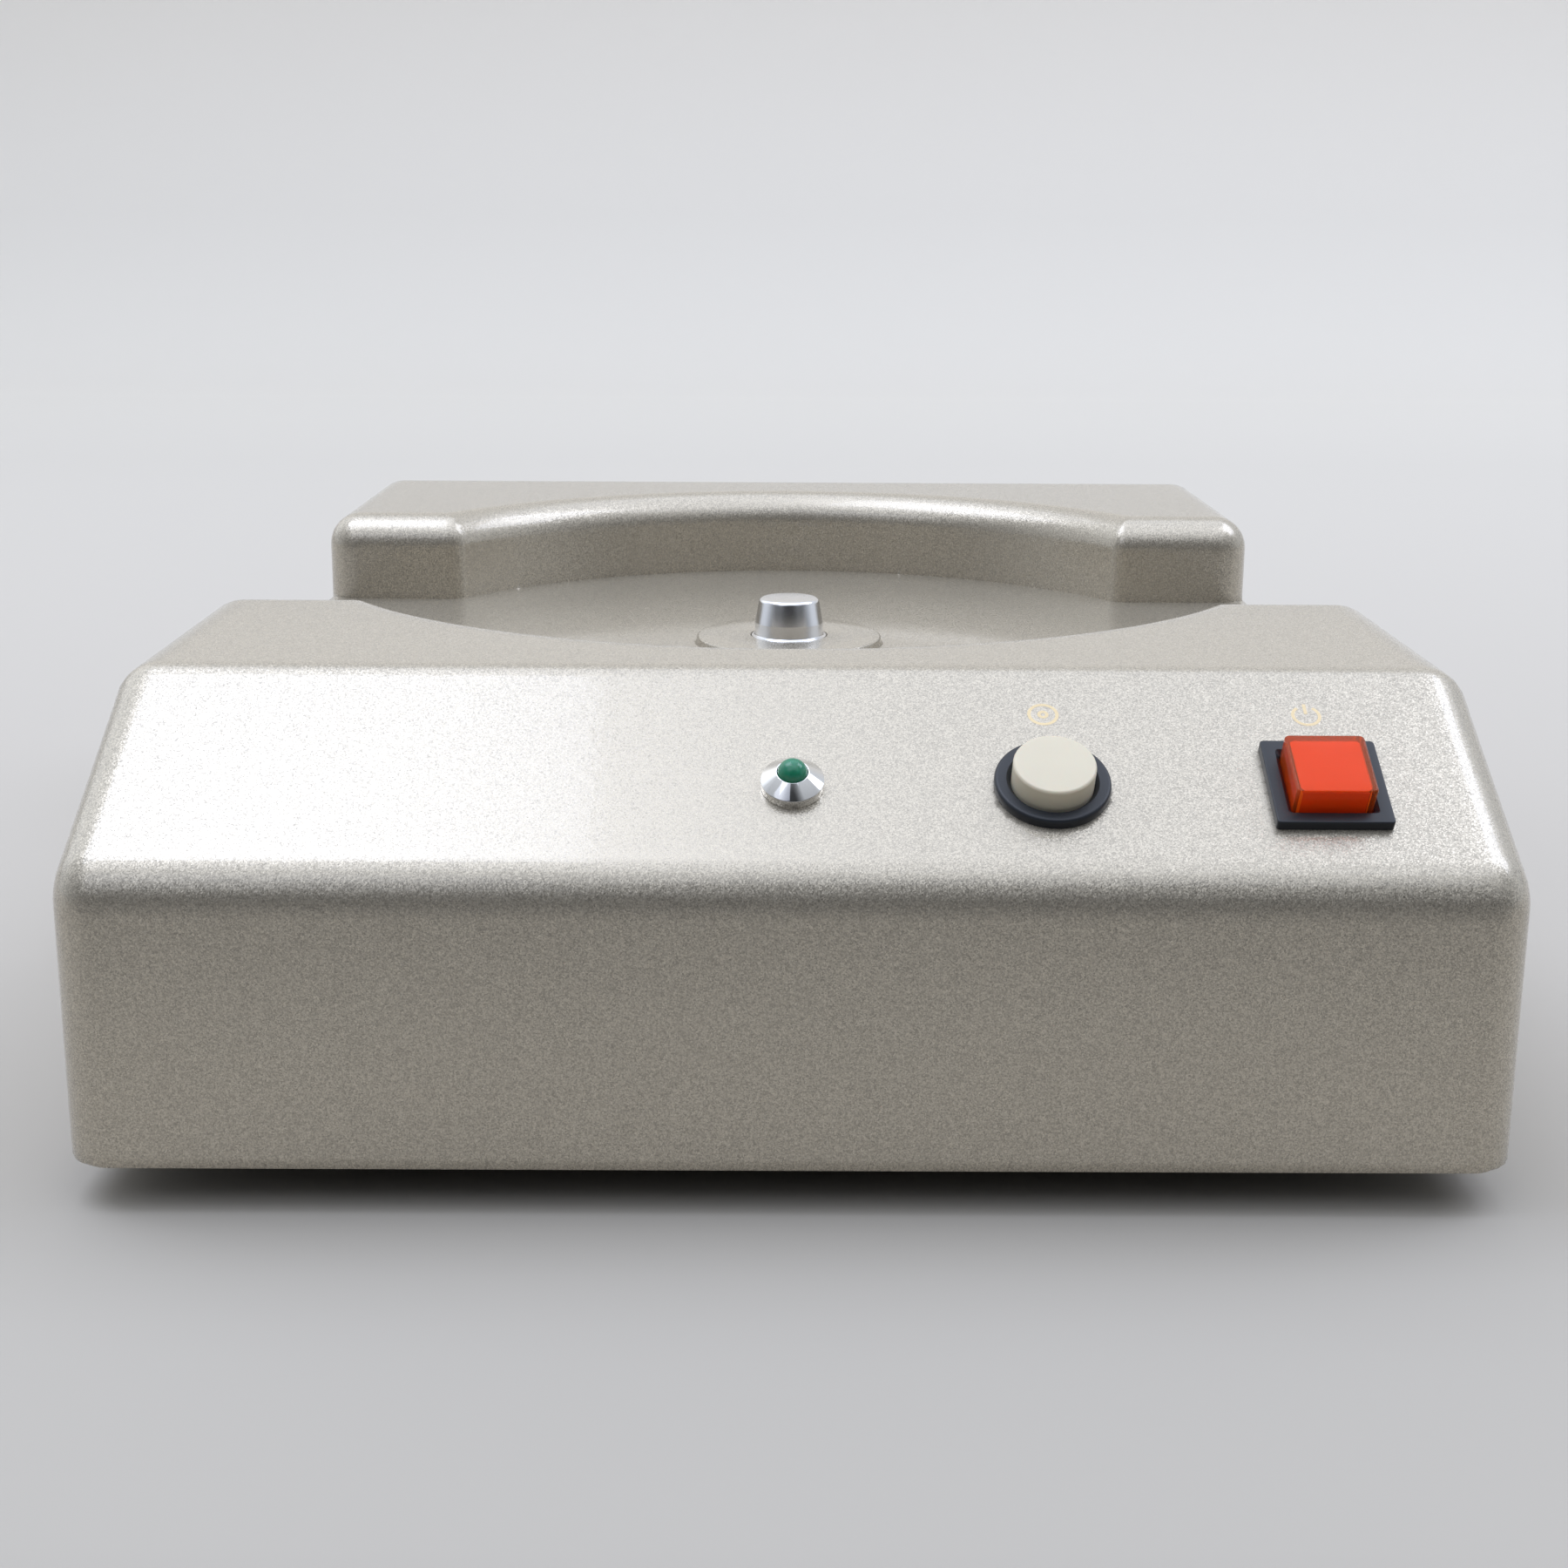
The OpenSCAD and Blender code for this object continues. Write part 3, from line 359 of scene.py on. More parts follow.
def striped(name, color, step_mm, axis, metallic, rough):
    """Stacked sheets or wound wire: fine lines a step apart along one axis."""
    s = Shader(name, Metallic=metallic)
    bands = s.add(
        "ShaderNodeTexWave",
        {"bands_direction": axis},
        Vector=s.place(), Scale=0.05 / (step_mm * MM), Distortion=0.4, Detail=1.0,
    ).outputs["Fac"]
    s.set("Base Color", s.tint(bands, shade(color, 0.55), shade(color, 1.15)))
    s.set("Roughness", s.spread(bands, rough * 1.2, rough * 0.8))
    s.set("Normal", s.bump(bands, 0.08))
    return s.material


def lens_red(name):
    """Clear red plastic with the faint haze of a moulded lens."""
    s = Shader(name, Transmission_Weight=0.8, IOR=1.3, Specular_IOR_Level=0.3)
    haze = s.noise(900.0).outputs["Fac"]
    s.set("Base Color", s.tint(haze, (1.0, 0.18, 0.02), (1.0, 0.21, 0.03)))
    s.set("Roughness", s.spread(haze, 0.03, 0.07))
    return s.material


def lamp_green(name):
    """Tinted resin of a lamp that is off: deep green, with light scattered inside."""
    s = Shader(name, Transmission_Weight=0.45, IOR=1.5, Subsurface_Weight=0.3, Subsurface_Scale=0.001)
    cloud = s.noise(600.0).outputs["Fac"]
    s.set("Base Color", s.tint(cloud, (0.03, 0.32, 0.17), (0.045, 0.4, 0.22)))
    s.set("Roughness", s.spread(cloud, 0.02, 0.05))
    return s.material


def glass_tube(name):
    """Clear glass with a trace of haze."""
    s = Shader(name, Transmission_Weight=0.9, IOR=1.5)
    haze = s.noise(500.0).outputs["Fac"]
    s.set("Base Color", s.tint(haze, (0.8, 0.83, 0.85), (0.88, 0.9, 0.92)))
    s.set("Roughness", s.spread(haze, 0.02, 0.08))
    return s.material


CHAMPAGNE = (0.465, 0.418, 0.335)
STEEL = (0.62, 0.62, 0.63)
LOOKS = {
    "case_paint": flake_paint("case_paint", CHAMPAGNE),
    "base_black": plastic("base_black", (0.022, 0.022, 0.024), 0.5, 0.35, 0.05),
    "black_screw": metal("black_screw", (0.06, 0.06, 0.065), 0.4),
    "rubber": plastic("rubber", (0.02, 0.02, 0.021), 0.75, 0.3, 0.03, 0.12),
    "steel": metal("steel", STEEL, 0.3),
    "spindle_metal": metal("spindle_metal", (0.8, 0.8, 0.81), 0.22, (1.0, 1.0, 9.0), 0.0015, 0.03),
    "chrome": metal("chrome", (0.8, 0.785, 0.76), 0.07, (1.0, 1.0, 1.0), 0.001, 0.03),
    "lamp_green": lamp_green("lamp_green"),
    "switch_black": plastic(
        "switch_black", (0.013, 0.016, 0.021), 0.4, 0.25, 0.006, Specular_IOR_Level=0.4),
    "ivory": plastic(
        "ivory", (0.655, 0.59, 0.445), 0.36, 0.3, 0.006, 0.03,
        Subsurface_Weight=0.1, Subsurface_Scale=0.001),
    "red_lens": lens_red("red_lens"),
    # The diffuser's faint orange-red emission is painted light: a glow that brightens the block behind the
    # lens, though no lamp lights it
    "red_diffuser": plastic(
        "red_diffuser", (0.97, 0.5, 0.06), 0.45, 0.3, 0.01, 0.03,
        Specular_IOR_Level=0.1, Emission_Color=(1.0, 0.24, 0.03, 1), Emission_Strength=0.08),
    "brass_tags": metal("brass_tags", (0.72, 0.6, 0.36), 0.28),
    "bobbin": plastic("bobbin", (0.72, 0.68, 0.58), 0.45),
    "copper": striped("copper", (0.45, 0.15, 0.06), 0.6, "Z", 0.8, 0.35),
    "board": plastic("board", (0.03, 0.16, 0.07), 0.35, 1.2, 0.02, 0.2),
    "can_sleeve": plastic("can_sleeve", (0.03, 0.05, 0.15), 0.3),
    "film_yellow": plastic("film_yellow", (0.6, 0.36, 0.05), 0.35),
    "sink_black": metal("sink_black", (0.07, 0.07, 0.075), 0.5, (1.0, 1.0, 0.1)),
    "epoxy_black": plastic("epoxy_black", (0.03, 0.03, 0.032), 0.55, 0.2, 0.02),
    "resistor_tan": plastic("resistor_tan", (0.6, 0.45, 0.26), 0.35),
    "relay_white": plastic("relay_white", (0.78, 0.76, 0.7), 0.35),
    "terminal_green": plastic("terminal_green", (0.03, 0.22, 0.11), 0.4),
    "lamination": striped("lamination", (0.2, 0.2, 0.21), 0.5, "Y", 0.9, 0.45),
    "winding_tape": striped("winding_tape", (0.5, 0.28, 0.05), 3.0, "Z", 0.0, 0.35),
    "inlet_black": plastic("inlet_black", (0.017, 0.018, 0.02), 0.42, 0.3, 0.012),
    "fuse_glass": glass_tube("fuse_glass"),
    "lead_brown": plastic("lead_brown", (0.15, 0.07, 0.03), 0.5),
    "lead_red": plastic("lead_red", (0.45, 0.05, 0.03), 0.5),
    "lead_white": plastic("lead_white", (0.7, 0.68, 0.6), 0.5),
    "lead_green": plastic("lead_green", (0.05, 0.28, 0.1), 0.5),
    "lead_copper": plastic("lead_copper", (0.34, 0.08, 0.02), 0.4),
    "lead_yellow": plastic("lead_yellow", (0.57, 0.32, 0.04), 0.5),
}
INK = plastic("pale_gold_ink", (0.78, 0.62, 0.36), 0.5, 0.15, 0.004, 0.1)


# Mesh tools: every outline and mesh is in millimetres until it becomes an object
def add_piece(name, verts, faces, place, slot, body="case", replaces=(), material=None):
    """New object from millimetre vertices, in the frame that place maps to the part, riding on a body."""
    mesh = bpy.data.meshes.new(name)
    mesh.from_pydata([(place @ Vector(v)) for v in np.asarray(verts) * MM], [], faces)
    tidy = bmesh.new()
    tidy.from_mesh(mesh)
    bmesh.ops.remove_doubles(tidy, verts=tidy.verts, dist=1e-7)
    bmesh.ops.recalc_face_normals(tidy, faces=tidy.faces)
    tidy.to_mesh(mesh)
    tidy.free()
    mesh.polygons.foreach_set("use_smooth", [True] * len(mesh.polygons))
    mesh.set_sharp_from_angle(angle=SHARP_TURN)
    return link_piece(name, mesh, slot, body, replaces, material)


def link_piece(name, mesh, slot, body, replaces=(), material=None):
    """New object from a mesh, riding on a body, in the finish of a slot."""
    obj = bpy.data.objects.new(name, mesh)
    bpy.context.scene.collection.objects.link(obj)
    mesh.materials.append(material or LOOKS[slot])
    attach(obj, body)
    if replaces:
        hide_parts(*replaces)
    return obj


def rounded(corners, steps=6, closed=False):
    """Outline through corners (x, y, radius), each turned by an arc of its radius."""
    points = []
    count = len(corners)
    for i, (x, y, r) in enumerate(corners):
        here = np.array((x, y), float)
        if r <= 0 or (not closed and i in (0, count - 1)):
            points.append(here)
            continue
        back = np.array(corners[i - 1][:2], float) - here
        ahead = np.array(corners[(i + 1) % count][:2], float) - here
        back /= np.linalg.norm(back)
        ahead /= np.linalg.norm(ahead)
        half = math.acos(np.clip(back @ ahead, -1, 1)) / 2
        middle = here + (back + ahead) / np.linalg.norm(back + ahead) * r / math.sin(half)
        start = here + back * r / math.tan(half) - middle
        end = here + ahead * r / math.tan(half) - middle
        turn = math.atan2(start[0] * end[1] - start[1] * end[0], start @ end)
        for k in range(steps + 1):
            a = turn * k / steps
            points.append(middle + np.array((
                start[0] * math.cos(a) - start[1] * math.sin(a),
                start[0] * math.sin(a) + start[1] * math.cos(a),
            )))
    return points


def lathe(profile, around=96):
    """Vertices and faces of a profile (radius, height) turned about the z axis."""
    verts, rings = [], []
    for r, z in profile:
        if r < 1e-6:
            rings.append([len(verts)])
            verts.append((0.0, 0.0, z))
            continue
        rings.append(list(range(len(verts), len(verts) + around)))
        verts += [(r * math.cos(2 * math.pi * k / around), r * math.sin(2 * math.pi * k / around), z)
                  for k in range(around)]
    return verts, bridge(rings)


def bridge(rings):
    """Faces between each ring and the next; a ring of one vertex closes an end."""
    faces = []
    for low, high in zip(rings, rings[1:]):
        count = max(len(low), len(high))
        for k in range(count):
            n = (k + 1) % count
            corners = [low[k % len(low)], low[n % len(low)], high[n % len(high)], high[k % len(high)]]
            unique = list(dict.fromkeys(corners))
            if len(unique) > 2:
                faces.append(unique)
    return faces


def square_loft(profile, corner_r, steps=6):
    """Like lathe, for a square with rounded corners: profile (half width, height), 0 closes the end."""
    verts, rings = [], []
    for half, z in profile:
        if half < 1e-6:
            rings.append([len(verts)])
            verts.append((0.0, 0.0, z))
            continue
        r = min(corner_r, half * 0.9)
        outline = rounded([(sx * half, sy * half, r) for sx, sy in ((1, -1), (1, 1), (-1, 1), (-1, -1))],
                          steps, closed=True)
        rings.append(list(range(len(verts), len(verts) + len(outline))))
        verts += [(p[0], p[1], z) for p in outline]
    return verts, bridge(rings)


def case_place(x=0.0, y=0.0, z=0.0):
    """Frame at a point of the case."""
    return Matrix.Translation(CASE_ORIGIN + Vector((x, y, z)) * MM)


def panel_place(x):
    """Frame of a control: z out of the panel, y up the slope."""
    foot = case_place(x, ROW_S * math.cos(SLOPE), FRONT_H + ROW_S * math.sin(SLOPE))
    return foot @ Matrix.Rotation(SLOPE, 4, "X")


# Case shell as a distance field: negative inside the material
def meet_round(a, b, r):
    """Overlap of two solids with their shared edge rounded by r."""
    return np.minimum(-r, np.maximum(a, b)) + np.hypot(np.maximum(r + a, 0), np.maximum(r + b, 0))


def slab(x, z, half_w, half_h, corner_r=0.0):
    """Distance to an upright rectangle with rounded corners."""
    ax, az = np.abs(x) - half_w + corner_r, np.abs(z) - half_h + corner_r
    return np.minimum(np.maximum(ax, az), 0) + np.hypot(np.maximum(ax, 0), np.maximum(az, 0)) - corner_r


def case_profile():
    """Side view of the case, drawn in by the edge radius and run on below the lower rim."""
    back_y = PANEL_RUN + EDGE_R * (1 - math.cos(SLOPE)) / math.sin(SLOPE)
    fold_z = FRONT_H - EDGE_R * (1 - math.sin(SLOPE)) / math.cos(SLOPE)
    top, low, rear = CASE_H - EDGE_R, -CASE_H, CASE_D - EDGE_R
    fold = (EDGE_R, fold_z, FOLD_R - EDGE_R)
    corners = [(EDGE_R, low, 0), fold, (back_y, top, 0), (rear, top, 0), (rear, low, 0)]
    return [tuple(p) for p in rounded(corners)]


def outline_distance(y, z, outline):
    """Signed distance to a convex outline given clockwise."""
    near = np.full(y.shape, np.inf)
    side = np.full(y.shape, -np.inf)
    for (ay, az), (by, bz) in zip(outline, outline[1:] + outline[:1]):
        ey, ez = by - ay, bz - az
        t = np.clip(((y - ay) * ey + (z - az) * ez) / (ey * ey + ez * ez), 0, 1)
        near = np.minimum(near, np.hypot(y - ay - t * ey, z - az - t * ez))
        side = np.maximum(side, ((z - az) * ey - (y - ay) * ez) / math.hypot(ey, ez))
    return np.where(side > 0, near, -near)


def box_form(x, y, z):
    """Case before the recess: all outer edges rounded, sides a little wider at the lower rim."""
    flare = FLARE * np.clip(1 - z / (CASE_H - EDGE_R), 0, 1)
    across = np.abs(x) - flare - (CASE_W / 2 - EDGE_R)
    profile = outline_distance(y, z, case_profile())
    corner = np.hypot(np.maximum(across, 0), np.maximum(profile, 0))
    return np.minimum(np.maximum(across, profile), 0) + corner - EDGE_R


def recess_walls(x, y):
    """Walls round the recess and the channel, with the upright corners between them rounded."""
    ring, band = RECESS_R + HORN_R, CHANNEL_HALF + HORN_R
    corner_x = math.sqrt(ring ** 2 - band ** 2)
    ax, ay = np.abs(x), np.abs(y - DISC_Y)
    to_ring, to_band = ring - np.hypot(ax, ay), band - ay
    to_corner = np.hypot(ax - corner_x, ay - band)
    on_ring = ay * corner_x >= ax * band
    outside = np.where(on_ring, to_ring, np.where(ax >= corner_x, to_band, to_corner))
    inside = np.maximum(to_ring, to_band)
    return np.where(inside < 0, inside, outside) - HORN_R


def shell_skin(x, y, z):
    """Outer form of the case with its recess, as if it were solid."""
    box = box_form(x, y, z)
    walls = meet_round(box, recess_walls(x, y), EDGE_R)
    floor = meet_round(box, z - FLOOR_Z, FLOOR_EDGE_R)
    return np.minimum(walls, floor)


def control_holes(x, y, z):
    """Holes in the panel for the lamp and the two buttons."""
    s = y * math.cos(SLOPE) + (z - FRONT_H) * math.sin(SLOPE) - ROW_S
    n = (z - FRONT_H) * math.cos(SLOPE) - y * math.sin(SLOPE)
    deep = np.abs(n) - 2 * WALL
    led = np.hypot(x - LED_X, s) - LED_BARREL_R - HOLE_GAP
    erase = np.hypot(x - ERASE_X, s) - ERASE_BARREL_R - HOLE_GAP
    power = np.maximum(np.abs(x - POWER_X), np.abs(s)) - POWER_BODY_HALF - HOLE_GAP
    return np.maximum(np.minimum(np.minimum(led, erase), power), deep)


def shell_distance(x, y, z):
    """Hollow case with the holes for the controls and the inlet."""
    skin = shell_skin(x, y, z)
    solid = meet_round(skin, -z, RIM_EDGE_R)
    hollow = skin + WALL
    hole_w, hole_h = INLET_BODY_W / 2 + INLET_FIT, INLET_BODY_H / 2 + INLET_FIT
    across = np.maximum(np.abs(x - INLET_X) - hole_w, np.abs(z - INLET_Z) - hole_h)
    inlet = np.maximum(across, CASE_D - 2 * WALL - y)
    return np.maximum(np.maximum(solid, -hollow), -np.minimum(inlet, control_holes(x, y, z)))


def field_normals(field, points):
    """Unit normals of the field at points."""
    slopes = []
    for axis in np.eye(3) * NORMAL_STEP:
        ahead, behind = (points + axis).T, (points - axis).T
        slopes.append(field(*ahead) - field(*behind))
    normals = np.stack(slopes, -1)
    return normals / np.maximum(np.linalg.norm(normals, axis=1, keepdims=True), 1e-12)


def field_mesh(field, low, high, cell):
    """Vertices and quads of the surface where the field is zero, one vertex a cell, edges kept sharp."""
    axes = [np.arange(a, b + cell, cell) for a, b in zip(low, high)]
    values = field(*np.meshgrid(*axes, indexing="ij"))
    inside = values < 0
    shape = np.array(values.shape) - 1
    flat = np.arange(shape.prod()).reshape(shape)
    points, cells, ways = [], [], []
    for axis in range(3):
        first, second = [slice(None)] * 3, [slice(None)] * 3
        first[axis], second[axis] = slice(None, -1), slice(1, None)
        crossing = inside[tuple(first)] != inside[tuple(second)]
        u, v = (axis + 1) % 3, (axis + 2) % 3
        for side in (u, v):
            rim = [slice(None)] * 3
            rim[side] = [0, -1]
            crossing[tuple(rim)] = False
        at = np.argwhere(crossing)
        one = values[tuple(first)][crossing]
        near = np.stack([axes[k][at[:, k]] for k in range(3)], -1)
        far = near + cell * np.eye(3)[axis]
        for _ in range(HALVINGS):
            middle = (near + far) / 2
            before = ((field(*middle.T) < 0) == (one < 0))[:, None]
            near, far = np.where(before, middle, near), np.where(before, far, middle)
        points.append((near + far) / 2)
        around = []
        for du, dv in ((1, 1), (0, 1), (0, 0), (1, 0)):
            corner = at.copy()
            corner[:, u] -= du
            corner[:, v] -= dv
            around.append(flat[tuple(corner.T)])
        cells.append(np.stack(around, -1))
        ways.append(one < 0)
    points, cells, ways = np.concatenate(points), np.concatenate(cells), np.concatenate(ways)
    normals = field_normals(field, points)
    used, quads = np.unique(cells, return_inverse=True)
    quads = quads.reshape(cells.shape)
    count = len(used)
    centre, weight = np.zeros((count, 3)), np.zeros(count)
    planes, offsets = np.zeros((count, 3, 3)), np.zeros((count, 3))
    for k in range(4):
        owner = quads[:, k]
        np.add.at(centre, owner, points)
        np.add.at(weight, owner, 1.0)
        np.add.at(planes, owner, normals[:, :, None] * normals[:, None, :])
        np.add.at(offsets, owner, normals * np.sum(normals * points, 1)[:, None])
    centre /= weight[:, None]
    pulled = (offsets + CENTRE_PULL * centre)[:, :, None]
    verts = np.linalg.solve(planes + CENTRE_PULL * np.eye(3), pulled)[:, :, 0]
    base = np.stack([axes[k][i] for k, i in enumerate(np.unravel_index(used, shape))], -1)
    verts = np.clip(verts, base, base + cell)
    return verts, np.where(ways[:, None], quads, quads[:, ::-1])


def field_piece(name, field, parts, slot, node):
    """Piece from field meshes (vertices, quads), with the field's normals, kept inside its node's box."""
    verts = np.concatenate([v for v, _ in parts])
    starts = np.cumsum([0] + [len(v) for v, _ in parts])
    quads = np.concatenate([q + start for (_, q), start in zip(parts, starts)])
    mesh = bpy.data.meshes.new(name)
    mesh.from_pydata(np.clip(verts * MM + np.array(CASE_ORIGIN), *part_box(node)), [], quads.tolist())
    mesh.polygons.foreach_set("use_smooth", [True] * len(mesh.polygons))
    flat = np.zeros(len(mesh.polygons) * 3)
    mesh.polygons.foreach_get("normal", flat)
    flat = np.repeat(flat.reshape(-1, 1, 3), 4, axis=1)
    corner = field_normals(field, verts)[quads]
    apart = np.sum(corner * flat, -1) < math.cos(EDGE_TURN)
    spots = verts[quads]
    inward = spots + EDGE_INSET * (spots.mean(axis=1, keepdims=True) - spots)
    corner[apart] = field_normals(field, inward[apart])
    astray = np.sum(corner * flat, -1, keepdims=True) < math.cos(STRAY_TURN)
    mesh.normals_split_custom_set(np.where(astray, flat, corner).reshape(-1, 3).tolist())
    return link_piece(name, mesh, slot, "case", [node])


def case_shell():
    """Painted case: recess, finger channel and rounded rims in one skin, hollow inside."""
    low = (-CASE_W / 2 - FLARE - CASE_MARGIN, -CASE_MARGIN, -CASE_MARGIN)
    high = (CASE_W / 2 + FLARE + CASE_MARGIN, CASE_D + CASE_MARGIN, CASE_H + CASE_MARGIN)
    parts = [field_mesh(shell_distance, low, high, CASE_CELL)]
    field_piece("case_shell", shell_distance, parts, "case_paint", "top_shell")


def inlet_distance(x, y, z):
    """Mains inlet: flange and body, less the socket, pin slots, drawer's well and screw holes."""
    x, y, z = x - INLET_X, y - CASE_D, z - INLET_Z
    plate = slab(x, z, INLET_W / 2, INLET_H / 2, INLET_CORNER_R)
    flange = np.maximum(meet_round(plate, y - INLET_T, INLET_EDGE_R), -y)
    depth = np.abs(y + INLET_BODY_D / 2) - INLET_BODY_D / 2
    body = np.maximum(slab(x, z, INLET_BODY_W / 2, INLET_BODY_H / 2), depth)
    up = z - SOCKET_Z
    cut_corner = (np.abs(x) + up - (SOCKET_W + SOCKET_H) / 2 + SOCKET_CUT) / math.sqrt(2)
    mouth = np.maximum(slab(x, up, SOCKET_W / 2, SOCKET_H / 2, SOCKET_CORNER_R), cut_corner)
    past_floor = y - INLET_T + SOCKET_D
    socket = np.maximum(mouth, -past_floor)
    for pin_x, pin_z in PINS:
        slot = slab(x - pin_x, up - pin_z, PIN_W / 2 + PIN_GAP, PIN_H / 2 + PIN_GAP)
        socket = np.minimum(socket, np.maximum(slot, past_floor - 1))
    well = slab(x, z - DRAWER_Z, DRAWER_W / 2 + SLIDE_GAP, DRAWER_H / 2 + SLIDE_GAP)
    well = np.maximum(well, INLET_T - DRAWER_D - SLIDE_GAP - y)
    holes = np.hypot(np.abs(x) - INLET_SCREW_X, z) - SCREW_HOLE_R
    solid = meet_round(np.minimum(flange, body), -socket, SOCKET_EDGE_R)
    return np.maximum(np.maximum(solid, -well), -holes)


def inlet_screw_distance(x, y, z):
    """Two pan-head screws of the inlet, with a cross recess in each head."""
    x, y, z = np.abs(x - INLET_X) - INLET_SCREW_X, y - CASE_D - INLET_T, z - INLET_Z
    reach = np.hypot(x, z)
    head = np.maximum(meet_round(reach - SCREW_HEAD_R, y - SCREW_HEAD_H, SCREW_DOME_R), -y)
    shank = np.maximum(np.maximum(reach - SCREW_R, -INLET_SCREW_L - y), y - 0.5)
    deep = y - SCREW_HEAD_H
    arm = CROSS_ARM + CROSS_TAPER * deep
    cross = np.minimum(np.maximum(np.abs(x) - CROSS_HALF, np.abs(z) - arm),
                       np.maximum(np.abs(z) - CROSS_HALF, np.abs(x) - arm))
    return np.maximum(np.minimum(head, shank), -np.maximum(cross, -CROSS_DEPTH - deep))


def mains_inlet():
    """Rear inlet with its moulded socket, and the screws that hold it."""
    left, right = INLET_X - INLET_W / 2, INLET_X + INLET_W / 2
    low = np.array((left, CASE_D - INLET_BODY_D, INLET_Z - INLET_H / 2)) - INLET_MARGIN
    high = np.array((right, CASE_D + INLET_T, INLET_Z + INLET_H / 2)) + INLET_MARGIN
    parts = [field_mesh(inlet_distance, low, high, INLET_CELL)]
    field_piece("inlet_body", inlet_distance, parts, "inlet_black", "mains_inlet")
    parts = []
    foot = CASE_D + INLET_T
    for x in (INLET_X - INLET_SCREW_X, INLET_X + INLET_SCREW_X):
        low = np.array((x - SCREW_HEAD_R, foot - INLET_SCREW_L, INLET_Z - SCREW_HEAD_R)) - INLET_MARGIN
        high = np.array((x + SCREW_HEAD_R, foot + SCREW_HEAD_H, INLET_Z + SCREW_HEAD_R)) + INLET_MARGIN
        parts.append(field_mesh(inlet_screw_distance, low, high, SCREW_CELL))
    field_piece("inlet_screw_pair", inlet_screw_distance, parts, "steel", "inlet_screws")


def disc_seat():
    """Low round seat that is moulded into the recess floor, with a dished ring for the spindle's flange."""
    skirt = SEAT_R + SEAT_SKIRT
    dish = SEAT_H - SPINDLE_FLANGE_T
    verts, faces = lathe(rounded([
        (0.0, -SEAT_SUNK, 0), (skirt, -SEAT_SUNK, 0), (skirt, SEAT_SKIRT_H, 0), (SEAT_R, SEAT_SKIRT_H, 0.5),
        (SEAT_R - SEAT_DRAFT, SEAT_H, 0.45), (SEAT_DISH_R, SEAT_H, 0.08), (SEAT_DISH_R, dish, 0),
        (0.0, dish, 0)]), 160)
    add_piece("disc_seat", verts, faces, case_place(0, DISC_Y, FLOOR_Z), "case_paint")


def disc_spindle():
    """Polished post for the disc's hole, on its stud."""
    verts, faces = lathe(rounded([
        (0.0, -SPINDLE_STUD_L, 0), (SPINDLE_STUD_R, -SPINDLE_STUD_L, 0.3),
        (SPINDLE_STUD_R, -SPINDLE_FLANGE_T, 0), (SPINDLE_FLANGE_R, -SPINDLE_FLANGE_T, 0),
        (SPINDLE_FLANGE_R, 0.0, 0.1), (SPINDLE_R, 0.0, 0.25), (SPINDLE_R, SPINDLE_COLLAR_H, 0.8),
        (SPINDLE_TOP_R, SPINDLE_H, 0.7), (0.0, SPINDLE_H, 0)]), 128)
    add_piece("spindle_post", verts, faces, case_place(0, DISC_Y, FLOOR_Z + SEAT_H), "spindle_metal",
              replaces=["disc_spindle"])


def lamp():
    """Turned metal bezel of the lamp."""
    bore = LED_LENS_R + LED_GAP
    verts, faces = lathe(rounded([
        (bore, -LED_BARREL_L, 0), (LED_BARREL_R, -LED_BARREL_L, 0.2), (LED_BARREL_R, 0.0, 0),
        (LED_BEZEL_R, 0.0, 0.1), (LED_BEZEL_R, LED_RIM_H, 0.15), (bore + LED_LIP, LED_BEZEL_H, 0.05),
        (bore, LED_BEZEL_H, 0.03), (bore, -LED_BARREL_L, 0)]), 96)
    add_piece("lamp_bezel", verts, faces, panel_place(LED_X), "chrome", replaces=["led_bezel"])


def return_spring(name, node, x, floor, turns):
    """Coil spring under a button, from the housing's floor to the plunger, which presses it together."""
    around, sides = 24, 8
    inset = SPRING_WIRE_R + SPRING_END_GAP
    rise = SPRING_TOP - floor - 2 * inset
    verts, rings = [], []
    for k in range(turns * around + 1):
        turn = 2 * math.pi * k / around
        height = floor + inset + rise * k / (turns * around)
        rings.append(list(range(len(verts), len(verts) + sides)))
        for j in range(sides):
            bend = 2 * math.pi * j / sides
            r = SPRING_R + SPRING_WIRE_R * math.cos(bend)
            verts.append((r * math.cos(turn), r * math.sin(turn), height + SPRING_WIRE_R * math.sin(bend)))
    faces = bridge(rings) + [rings[0][::-1], rings[-1]]
    place = panel_place(x)
    spring = add_piece(name, verts, faces, place, "steel", replaces=[node])
    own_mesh(spring)


